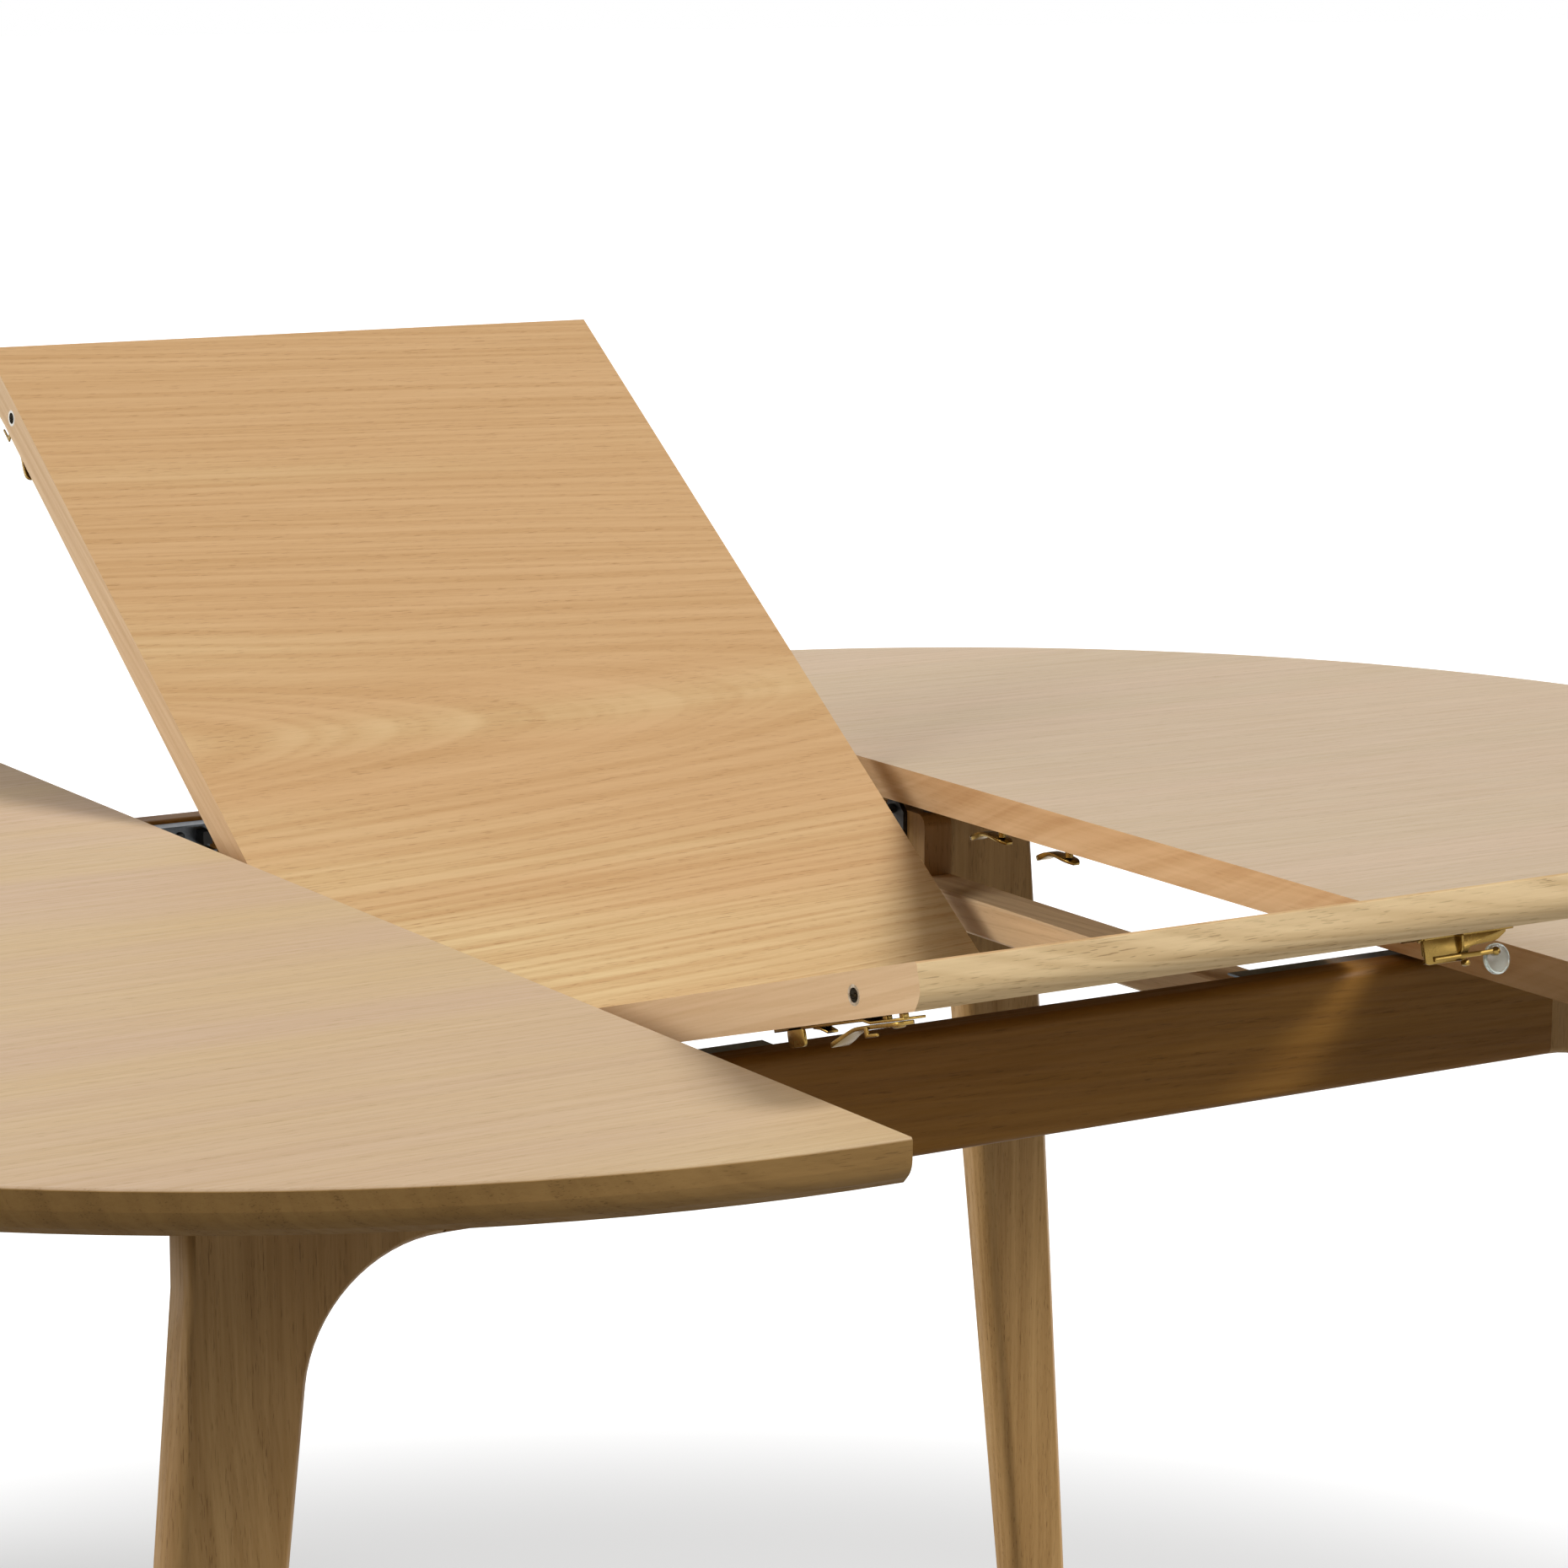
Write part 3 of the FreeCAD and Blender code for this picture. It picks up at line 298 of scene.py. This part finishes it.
oak = {
    "left_top": wood("oak left top", BEIGE, rim=RIM_WITH_PAINTED_SHADE, **LEFT_CUT),
    "right_top": wood("oak right top", ROSE_BEIGE_PAINTED_SHEEN, rim=RIM_WITH_PAINTED_SHADE, **RIGHT_CUT),
    "left_lipping": wood("oak left lipping", BEIGE, rim=RIM_WITH_PAINTED_SHADE, butt=BUTT, butt_cut=BUTT_CUT, **LEFT_CUT),
    "right_lipping": wood("oak right lipping", ROSE_BEIGE_PAINTED_SHEEN, rim=RIM_WITH_PAINTED_SHADE, butt=BUTT, butt_cut=BUTT_CUT,
                          **RIGHT_CUT),
    "rear": wood("oak rear leaf", HONEY, rim=LEAF_RIM_PAINTED_HIGHLIGHT, **REAR_CUT),
    "front": wood("oak front leaf", HONEY, rim=LEAF_RIM_PAINTED_HIGHLIGHT, **FRONT_CUT),
    "rear_lipping": wood("oak rear lipping", HONEY, rim=LEAF_RIM_PAINTED_HIGHLIGHT, butt=CREAM, butt_cut=REAR_BUTT_CUT,
                         **REAR_CUT),
    "front_lipping": wood("oak front lipping", HONEY, rim=LEAF_RIM_PAINTED_HIGHLIGHT, butt=CREAM, butt_cut=FRONT_BUTT_CUT,
                          **FRONT_CUT),
    "leg": wood("oak legs", LEG, origin=(0.0, 0.0, 0.0), turn=UPRIGHT, heart=(0.9, 0.3), taper=0.015,
                figure=0.3, streaks=0.34, pores=0.6, shine=0.18),
    "apron": wood("oak aprons", APRON_WITH_PAINTED_SHADE, origin=(0.2, 0.0, 0.3), turn=LEVEL, heart=(0.4, -0.5), figure=0.28,
                  streaks=0.22, pores=0.35, shine=0.14),
    "rail": wood("hardwood rails", RAIL, origin=(0.0, 0.0, 0.3), turn=CROSSWISE, heart=(0.2, -0.3),
                 figure=0.4, pores=0.3),
    "pin": wood("hardwood pins", CREAM, origin=(0.0, 0.0, 0.3), turn=LEVEL, figure=0.3, pores=0.2),
}


# Metal and plastic

def metal(name, colour, roughness, mottle=0.12, scale=300.0):
    """Plated metal with a faint mottle and handling marks."""
    graph = new_material(name)
    place = graph.place()
    cloud = graph.noise(place, (scale,) * 3)
    dark = tuple(value * (1 - 2 * mottle) for value in colour[:3]) + (1.0,)
    tone = graph.mix(graph.steps(cloud, 0.35, 0.65), dark, colour)
    rough = graph.steps(cloud, 0.3, 0.7, roughness - 0.06, roughness + 0.08)
    fine = graph.noise(place, (scale * 9,) * 3, detail=1.0)
    return graph.principled(Base_Color=tone, Metallic=1.0, Roughness=rough,
                            Normal=graph.bump(fine, 0.05, 0.3 * MM))


def plastic(name, colour, roughness):
    """Moulded plastic with a fine spark-eroded texture."""
    graph = new_material(name)
    fine = graph.noise(graph.place(), (2600.0,) * 3, detail=2.0)
    rough = graph.steps(fine, 0.3, 0.7, roughness - 0.05, roughness + 0.05)
    return graph.principled(Base_Color=colour, Roughness=rough,
                            Normal=graph.bump(fine, 0.08, 0.2 * MM))


def clear_plastic(name):
    """Water-clear plastic with a slight green tinge."""
    graph = new_material(name)
    cloud = graph.noise(graph.place(), (400.0,) * 3)
    rough = graph.steps(cloud, 0.3, 0.7, 0.08, 0.18)
    return graph.principled(Base_Color=rgb(222, 230, 222), Roughness=rough, Transmission_Weight=0.8,
                            IOR=1.45)


brass = metal("yellow zinc", rgb(152, 124, 66), 0.24, mottle=0.06, scale=60.0)
dark_steel = metal("blackened steel", rgb(70, 68, 66), 0.4)
runner_steel = metal("runner steel", rgb(104, 110, 116), 0.35)
socket_metal = metal("socket zinc", rgb(204, 200, 190), 0.3)
black_plastic = plastic("black plastic", rgb(28, 28, 28), 0.5)
clear_disc = clear_plastic("clear plastic")

# The finish of a node goes by the first of these words that its name has

DRESS = (
    ("left_top_panel", oak["left_top"]), ("right_top_panel", oak["right_top"]),
    ("left_top_lipping", oak["left_lipping"]), ("right_top_lipping", oak["right_lipping"]),
    ("leaf_rear_panel", oak["rear"]), ("leaf_front_panel", oak["front"]),
    ("leaf_rear_lipping", oak["rear_lipping"]), ("leaf_front_lipping", oak["front_lipping"]),
    ("leg", oak["leg"]), ("apron", oak["apron"]), ("crossbar", oak["rail"]), ("end_rail", oak["rail"]),
    ("pivot_block", oak["leg"]), ("left_top_pins", oak["pin"]),
    ("pivot_plate", dark_steel), ("pivot_bracket", dark_steel),
    ("runner_stops", black_plastic), ("runner", runner_steel), ("foot_glides", black_plastic),
    ("barrels", brass), ("catch_disc", clear_disc), ("socket", socket_metal),
    ("catch", brass), ("disc_bracket", brass),
)


def dress_nodes():
    """Give each CAD node its finish."""
    for name, node in frame["nodes"].items():
        finish = next(material for word, material in DRESS if word in name)
        node.data.materials.clear()
        node.data.materials.append(finish)


dress_nodes()


# Legs, with their long corners shaded round

ONE_PLACE = 0.01 * MM
ONE_PLANE = math.radians(1)
LEG_CREASE = math.radians(62)


def round_corners(name):
    """Stand a copy of a leg in its place, whose shading runs smoothly round its long corners."""
    mesh = frame["nodes"][name].data.copy()
    work = bmesh.new()
    work.from_mesh(mesh)
    bmesh.ops.remove_doubles(work, verts=work.verts, dist=ONE_PLACE)
    bmesh.ops.dissolve_limit(work, angle_limit=ONE_PLANE, verts=work.verts, edges=work.edges)
    for face in work.faces:
        face.smooth = True
    work.to_mesh(mesh)
    work.free()
    mesh.set_sharp_from_angle(angle=LEG_CREASE)
    leg = bpy.data.objects.new(f"{name}_rounded", mesh)
    scene.collection.objects.link(leg)
    weighted = leg.modifiers.new("corners", "WEIGHTED_NORMAL")
    weighted.keep_sharp = True
    weighted.weight = 100
    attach(leg, "base")
    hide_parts(name)


for name in ("front_left_leg", "front_right_leg", "rear_left_leg", "rear_right_leg"):
    round_corners(name)


# Pieces in mesh code, drawn in millimetres in the frame of what carries them

EASED_EDGE = math.radians(35)
PIECE_CREASE = math.radians(40)


def add_piece(name, own_frame, shape, finish, body, soften=0.25):
    """Make a piece from points and faces, ease its sharp edges, and let it ride on its body."""
    points, faces = shape
    mesh = bpy.data.meshes.new(name)
    mesh.from_pydata([own_frame @ (Vector(point) * MM) for point in points], [], faces)
    work = bmesh.new()
    work.from_mesh(mesh)
    bmesh.ops.recalc_face_normals(work, faces=work.faces)
    if soften:
        sharp = [edge for edge in work.edges if edge.calc_face_angle(0.0) > EASED_EDGE]
        bmesh.ops.bevel(work, geom=sharp, offset=soften * MM, segments=2, affect="EDGES", profile=0.5,
                        clamp_overlap=True)
    for face in work.faces:
        face.smooth = True
    work.to_mesh(mesh)
    work.free()
    mesh.set_sharp_from_angle(angle=PIECE_CREASE)
    mesh.materials.append(finish)
    piece = bpy.data.objects.new(name, mesh)
    scene.collection.objects.link(piece)
    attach(piece, body)
    return piece


def flowing(stations):
    """A smooth run through stations of numbers, with two more between each two."""
    run = []
    last = len(stations) - 1
    for index in range(last):
        around = [Vector(stations[min(max(index + shift, 0), last)]) for shift in (-1, 0, 1, 2)]
        for step in range(3):
            t = step / 3
            first = 2 * around[1] + (around[2] - around[0]) * t
            second = (2 * around[0] - 5 * around[1] + 4 * around[2] - around[3]) * t * t
            third = (3 * around[1] - around[0] - 3 * around[2] + around[3]) * t ** 3
            run.append((first + second + third) / 2)
    run.append(Vector(stations[-1]))
    return run


def walls(total, ring):
    """Faces from each ring of points to the next."""
    faces = []
    for start in range(0, total - ring, ring):
        for index in range(ring):
            other = (index + 1) % ring
            faces.append((start + index, start + other, start + ring + other, start + ring + index))
    return faces


def closed(points, ring):
    """A shape over rings of points, with its first and last ring filled."""
    total = len(points)
    ends = [tuple(range(ring)), tuple(range(total - 1, total - ring - 1, -1))]
    return points, ends + walls(total, ring)


def ribbon(stations):
    """A bent strip.

    Each station gives y, the upper face's z, the middle in x, half the width, and the thickness."""
    turn = 1 if stations[1][0] < stations[0][0] else -1
    points = []
    for index, (along, height, middle, half, thickness) in enumerate(stations):
        before = stations[max(index - 1, 0)]
        after = stations[min(index + 1, len(stations) - 1)]
        slope = Vector((after[0] - before[0], after[1] - before[1])).normalized()
        low_y = along - turn * slope.y * thickness
        low_z = height + turn * slope.x * thickness
        points += [(middle - half, along, height), (middle + half, along, height),
                   (middle + half, low_y, low_z), (middle - half, low_y, low_z)]
    return closed(points, 4)


CORNER_STEPS = 4


def rounded(corners, radius):
    """An outline with each of its corners rounded."""
    outline = []
    for index, corner in enumerate(corners):
        corner = Vector(corner)
        before = Vector(corners[index - 1])
        after = Vector(corners[(index + 1) % len(corners)])
        reach = min(radius, (before - corner).length / 2, (after - corner).length / 2)
        start = corner + (before - corner).normalized() * reach
        stop = corner + (after - corner).normalized() * reach
        for step in range(CORNER_STEPS + 1):
            t = step / CORNER_STEPS
            outline.append(tuple(start * (1 - t) ** 2 + corner * 2 * t * (1 - t) + stop * t * t))
    return outline


def sheet(outline, low, high, through="z"):
    """A flat sheet of an outline, between two levels along the axis that goes through it."""
    order = {"x": (2, 0, 1), "y": (0, 2, 1), "z": (0, 1, 2)}[through]
    points = [tuple((across, along, level)[axis] for axis in order) for level in (low, high)
              for across, along in outline]
    return closed(points, len(outline))


SEGMENTS = 24


def circles(profile, segments):
    """Rings of points about z, from a profile of radius and height."""
    angles = [2 * math.pi * index / segments for index in range(segments)]
    return [(radius * math.cos(angle), radius * math.sin(angle), height)
            for radius, height in profile for angle in angles]


def turned_part(profile, segments=SEGMENTS):
    """A part turned about z, from its profile of radius and height."""
    return closed(circles(profile, segments), segments)


def moved(shape, place, up, spin=0.0):
    """A shape put at a place, with its z turned along a direction."""
    turn = Vector(up).to_track_quat("Z", "Y").to_matrix() @ Matrix.Rotation(spin, 3, "Z")
    return [tuple(turn @ Vector(point) + Vector(place)) for point in shape[0]], shape[1]


def joined(*shapes):
    """Several shapes as one."""
    points = []
    faces = []
    for more_points, more_faces in shapes:
        faces += [tuple(len(points) + index for index in face) for face in more_faces]
        points += more_points
    return points, faces


# Screws

HEAD_RIM = ((1.0, 0.0), (1.0, 0.45), (0.9, 0.8), (0.7, 1.0))
CROSS_REACH = 0.5
CROSS_HALF_WIDTH = 0.13
CROSS_FLOOR = 0.3
CROSS_TAPER = 0.7
CROSS_CORNERS = SEGMENTS // 2


def screw_head(radius, height):
    """A pan head with a cross cut in it.

    Its top is faces between the rim and the cross, whose 12 corners each stand by 2 points of the rim."""
    points = circles([(radius * share, height * level) for share, level in HEAD_RIM], SEGMENTS)
    faces = [tuple(range(SEGMENTS))] + walls(len(points), SEGMENTS)
    top = len(points) - SEGMENTS
    arm = radius * CROSS_REACH
    half = radius * CROSS_HALF_WIDTH
    cross = [(arm, half), (half, half), (half, arm), (-half, arm), (-half, half), (-arm, half),
             (-arm, -half), (-half, -half), (-half, -arm), (half, -arm), (half, -half), (arm, -half)]
    upper = len(points)
    points += [(x, y, height) for x, y in cross]
    lower = len(points)
    points += [(x * CROSS_TAPER, y * CROSS_TAPER, height * CROSS_FLOOR) for x, y in cross]
    for index in range(CROSS_CORNERS):
        other = (index + 1) % CROSS_CORNERS
        faces.append((upper + index, upper + other, lower + other, lower + index))
        first, second, third = (top + (2 * index + step) % SEGMENTS for step in (1, 2, 3))
        faces.append((first, second, third, upper + other, upper + index))
    faces.append(tuple(lower + index for index in range(CROSS_CORNERS)))
    return points, faces


def add_screws(name, own_frame, places, towards, body, finish, radius=3.4, height=1.2):
    """Screws whose heads stand on a surface, each with its cross turned its own way."""
    head = screw_head(radius, height)
    heads = [moved(head, place, towards, 0.7 * number + 0.3) for number, place in enumerate(places)]
    add_piece(name, own_frame, joined(*heads), finish, body, soften=0)


# Catches under the leaf's left edge, drawn by stations and corners that begin with how far out from
# the fold they are

DOWN = (0, 0, -1)
CATCH_X = -207.0
CATCH_EDGE = -213.0
POST_BACK = -209.8
TAB_BACK = -211.5
FINGER = (-212.4, -211.4)
RIVET = ((3.2, 0.0), (3.2, 0.5), (2.5, 0.9), (1.2, 1.1))


def add_leaf_catch(side, hooked):
    """A catch's plate with its posts and, on one panel, a tab and a prong; and its bent lever."""
    out = 1 if side == "rear" else -1
    own_frame = PANELS[side]

    def strip(*stations):
        return ribbon([(out * along, height, CATCH_X, half, thick)
                       for along, height, half, thick in stations])

    def tab(low, high, *corners, radius=0.6):
        outline = rounded([(out * along, height) for along, height in corners], radius)
        return sheet(outline, low, high, "x")

    shapes = [strip((466, -22, 6, 1.5), (540, -22, 6, 1.5), (545, -22.2, 6, 1.4), (551, -23.9, 6, 1.3),
                    (580, -24, 6, 1.3))]
    for start in (562.5, 576.5):
        shapes.append(tab(CATCH_EDGE, POST_BACK, (start, -21.9), (start + 3.5, -21.9),
                          (start + 3.5, -24.2), (start, -24.2)))
    if hooked:
        shapes.append(tab(CATCH_EDGE, TAB_BACK, (477.5, -22.2), (492.5, -22.2), (492.5, -31.5),
                          (477.5, -31.5), radius=3))
        shapes.append(strip((497, -22.8, 3.4, 1.2), (503, -23.6, 3.4, 1.2), (509, -25.8, 3, 1.2)))
    plate = add_piece(f"leaf_catch_plate_{side}_formed", own_frame, joined(*shapes), brass,
                      f"leaf_{side}")
    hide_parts(f"leaf_catch_plate_{side}")

    blade = strip(*flowing([(574, -25.6, 2.6, 1.8), (571, -25.5, 4.8, 2), (560, -25.5, 5, 2),
                            (546, -25.5, 4.2, 2), (534, -25.6, 3.8, 2), (526, -27.3, 4, 2),
                            (518, -29.8, 4.8, 2.2), (512.5, -31.2, 4.6, 2.4), (510, -31.6, 2.6, 1.6)]))
    finger = tab(*FINGER, (544, -26), (547, -26), (547, -29.4), (555, -29.4), (555, -31), (544, -31))
    rivet = moved(turned_part(RIVET), (CATCH_X, out * 566, -27.4), DOWN)
    lever = add_piece(f"leaf_catch_lever_{side}_formed", own_frame, joined(blade, finger, rivet), brass,
                      f"leaf_lever_{side}")
    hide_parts(f"leaf_catch_lever_{side}")


CENTRE_X = 256


def add_centre_lever(side, pivot):
    """A comma-shaped lever under the right top, beside its butt edge."""
    run = flowing([(-8, 717.4, 2.2, 1.6), (-4, 718.5, 4.4, 1.8), (2, 719.3, 5, 1.8),
                   (10, 720.0, 4.3, 2), (18, 719.8, 4, 2.6), (24, 717.9, 4.6, 3.5),
                   (28.5, 715.7, 4.4, 3.2), (31, 714.2, 2.4, 1.6)])
    blade = ribbon([(pivot + along, height, CENTRE_X, half, thick) for along, height, half, thick in run])
    rivet = moved(turned_part(RIVET), (CENTRE_X, pivot, 717.3), DOWN)
    lever = add_piece(f"centre_catch_lever_{side}_formed", TABLE, joined(blade, rivet), brass,
                      f"centre_lever_{side}")
    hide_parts(f"centre_catch_lever_{side}")


def add_disc_bracket():
    """The clear disc, and its bracket: a strip, a dished flange, a thin lever and a short pin."""
    strip = sheet(rounded([(149, -480), (209, -480), (209, -500.5), (149, -500.5)], 3), -23.5, -22)
    flange = sheet(rounded([(149, -22.4), (149, -36), (175, -36), (178, -29.5), (196, -28.5), (203, -24.5),
                            (203, -22.4)], 2.5), -500, -498.6, "y")
    cup = sheet(rounded([(151, -22.4), (151, -33), (172, -33), (172, -22.4)], 3), -496.2, -494.8, "y")
    floor = sheet(rounded([(151, -494.8), (151, -499.4), (172, -499.4), (172, -494.8)], 0.4), -35.2, -33.8)
    rib = sheet(rounded([(-494.8, -22.4), (-504.2, -22.4), (-503, -30), (-499, -35), (-494.8, -35)], 1.5),
                170.8, 172.2, "x")
    lever = sheet(rounded([(154, -500.1), (154, -501.4), (171, -501.4), (180, -505.6), (190, -505.6),
                           (190, -504.3), (181, -504.3), (171.5, -500.1)], 0.5), -34.9, -32.3)
    end = turned_part(((0.6, -2.3), (1.6, -1.7), (2.2, -0.7), (2.3, 0.3), (1.9, 1.4), (0.9, 2.2)))
    pin = turned_part(((1.7, 0.0), (1.7, 3.4), (1.3, 3.9)))
    shape = joined(strip, flange, cup, floor, rib, lever, moved(end, (190.5, -504.9, -33.6), (1, 0, 0)),
                   moved(pin, (172.5, -500, -37.4), (0, -1, 0)))
    bracket = add_piece("disc_bracket_formed", PANELS["front"], shape, brass, "leaf_front")
    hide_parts("disc_bracket")
    profile = ((1.4, 0.0), (7.2, 0.0), (8.0, 0.8), (8.0, 2.6), (7.2, 3.4), (1.4, 3.4))
    shape = moved(turned_part(profile, 40), (192.6, -500.2, -37.6), (0, -1, 0))
    disc = add_piece("catch_disc_formed", PANELS["front"], shape, clear_disc, "leaf_front")
    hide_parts("catch_disc")


for side in ("rear", "front"):
    add_leaf_catch(side, hooked=side == "front")
add_centre_lever("front", -18)
add_centre_lever("rear", 53)
add_disc_bracket()

add_screws("disc_bracket_screws", PANELS["front"], [(158, -488, -23.5), (200, -488, -23.5)], DOWN,
           "leaf_front", brass, radius=2.8, height=1.0)
add_screws("pivot_bracket_screws", PANELS["rear"],
           [(x, along, -24.5) for x in (-201, 201) for along in (135, 171)], DOWN, "leaf_rear", dark_steel,
           radius=3.2)
for hand, sign in (("left", -1), ("right", 1)):
    add_screws(f"pivot_plate_screws_{hand}", TABLE, [(sign * 242, 153, z) for z in (690, 703)],
               (-sign, 0, 0), "base", dark_steel)
    add_screws(f"pivot_block_screws_{hand}", TABLE, [(sign * 255, y, 722) for y in (132, 174)], (0, 0, 1),
               "base", dark_steel)
    add_screws(f"runner_top_screws_{hand}", TABLE,
               [(sign * x, y, 726.5) for x in (400, 530, 660) for y in (-305, 305)], DOWN, f"{hand}_top",
               runner_steel)
    for end, facing in (("front", 1), ("rear", -1)):
        add_screws(f"runner_fixed_screws_{end}_{hand}", TABLE,
                   [(sign * x, -facing * 331.5, 713.5) for x in (165, 225)], (0, facing, 0), "base",
                   runner_steel, radius=3.0)
add_screws("centre_catch_screws", TABLE, [(CENTRE_X, y, 726.5) for y in (-7, 64)], DOWN, "right_top",
           brass, radius=2.6, height=1.0)


# Floor, light and camera

WHITE = (1.0, 1.0, 1.0, 1.0)
FLOOR_HALF_SIZE = 40.0
FLOOR_COLOUR = (0.34, 0.34, 0.34, 1.0)
AMBIENT = (1.0, 0.92, 0.80, 1.0)
AMBIENT_LEVEL = 0.062

# From 0.9 m to 1.5 m out, the floor's own light rises from 0.4 to 1.0, so the dimmer floor near the table
# is a painted shadow

FLOOR_PAINTED_SHADOW_RAMP = (0.9, 1.5, 0.4, 1.0)

# Each lamp: the direction it shines from, the angle it is seen under in degrees, and its level

LAMPS = {
    "key": ((0.60, -0.45, 0.66), 18.0, 0.73),
    "front box": ((0.50, -0.70, 0.51), 36.0, 0.35),
    "rear fill": ((-0.85, 0.38, 0.34), 40.0, 0.76),
}

CAMERA_PLACE = (-1.3143, -2.2280, 1.2776)
CAMERA_YAW = math.radians(31.781)
CAMERA_PITCH = math.radians(10.765)
CAMERA_ROLL = math.radians(0.306)
CAMERA_SENSOR = 36.0
CAMERA_LENS = 105.97


def make_floor():
    """A pale floor that keeps the table's shadow.

    Where it is seen it also shines, more and more away from the table, up to plain white, so its dimmer
    glow near the table is a painted shadow."""
    mesh = bpy.data.meshes.new("floor")
    signs = ((-1, -1), (1, -1), (1, 1), (-1, 1))
    mesh.from_pydata([(x * FLOOR_HALF_SIZE, y * FLOOR_HALF_SIZE, 0.0) for x, y in signs], [],
                     [(0, 1, 2, 3)])
    floor = bpy.data.objects.new("floor", mesh)
    scene.collection.objects.link(floor)
    graph = new_material("floor")
    away = graph.add("ShaderNodeVectorMath", {0: graph.place()}, operation="LENGTH").outputs["Value"]
    # the camera sees the floor glow less near the table: a painted shadow
    glow_with_painted_shadow = graph.math("MULTIPLY", graph.seen(), graph.steps(away, *FLOOR_PAINTED_SHADOW_RAMP))
    diffuse = graph.add("ShaderNodeBsdfDiffuse", {"Color": FLOOR_COLOUR})
    glow = graph.add("ShaderNodeEmission", {"Color": WHITE, "Strength": glow_with_painted_shadow})
    mesh.materials.append(graph.surface(graph.add("ShaderNodeAddShader", {0: diffuse, 1: glow})))


def make_world():
    """Faint light from all round, white where it is seen, mirrored or looked at through glass."""
    scene.world = bpy.data.worlds.new("studio")
    graph = Graph(scene.world, "ShaderNodeOutputWorld")
    light = graph.add("ShaderNodeBackground", {"Color": AMBIENT, "Strength": AMBIENT_LEVEL})
    backdrop = graph.add("ShaderNodeBackground", {"Color": WHITE, "Strength": 1.0})
    graph.surface(graph.add("ShaderNodeMixShader", {0: graph.seen(), 1: light, 2: backdrop}))


def make_lamp(name, towards, spread, level):
    """A distant soft light from a direction. At a level of 1, a colour that faces it shows as written."""
    light = bpy.data.lights.new(name, "SUN")
    light.angle = math.radians(spread)
    light.energy = math.pi * level
    lamp = bpy.data.objects.new(name, light)
    lamp.rotation_euler = Vector(towards).to_track_quat("Z", "Y").to_euler()
    scene.collection.objects.link(lamp)


def make_camera():
    """The photograph's viewpoint, found from its vanishing points and the circle of the top."""
    data = bpy.data.cameras.new("camera")
    data.sensor_width = CAMERA_SENSOR
    data.lens = CAMERA_LENS
    camera = bpy.data.objects.new("camera", data)
    heading = Matrix.Rotation(-CAMERA_YAW, 4, "Z")
    tilt = Matrix.Rotation(math.pi / 2 - CAMERA_PITCH, 4, "X")
    roll = Matrix.Rotation(CAMERA_ROLL, 4, "Z")
    camera.matrix_world = Matrix.Translation(CAMERA_PLACE) @ heading @ tilt @ roll
    scene.collection.objects.link(camera)
    scene.camera = camera


make_floor()
make_world()
for name, settings in LAMPS.items():
    make_lamp(name, *settings)
make_camera()
scene.view_settings.view_transform = "Standard"
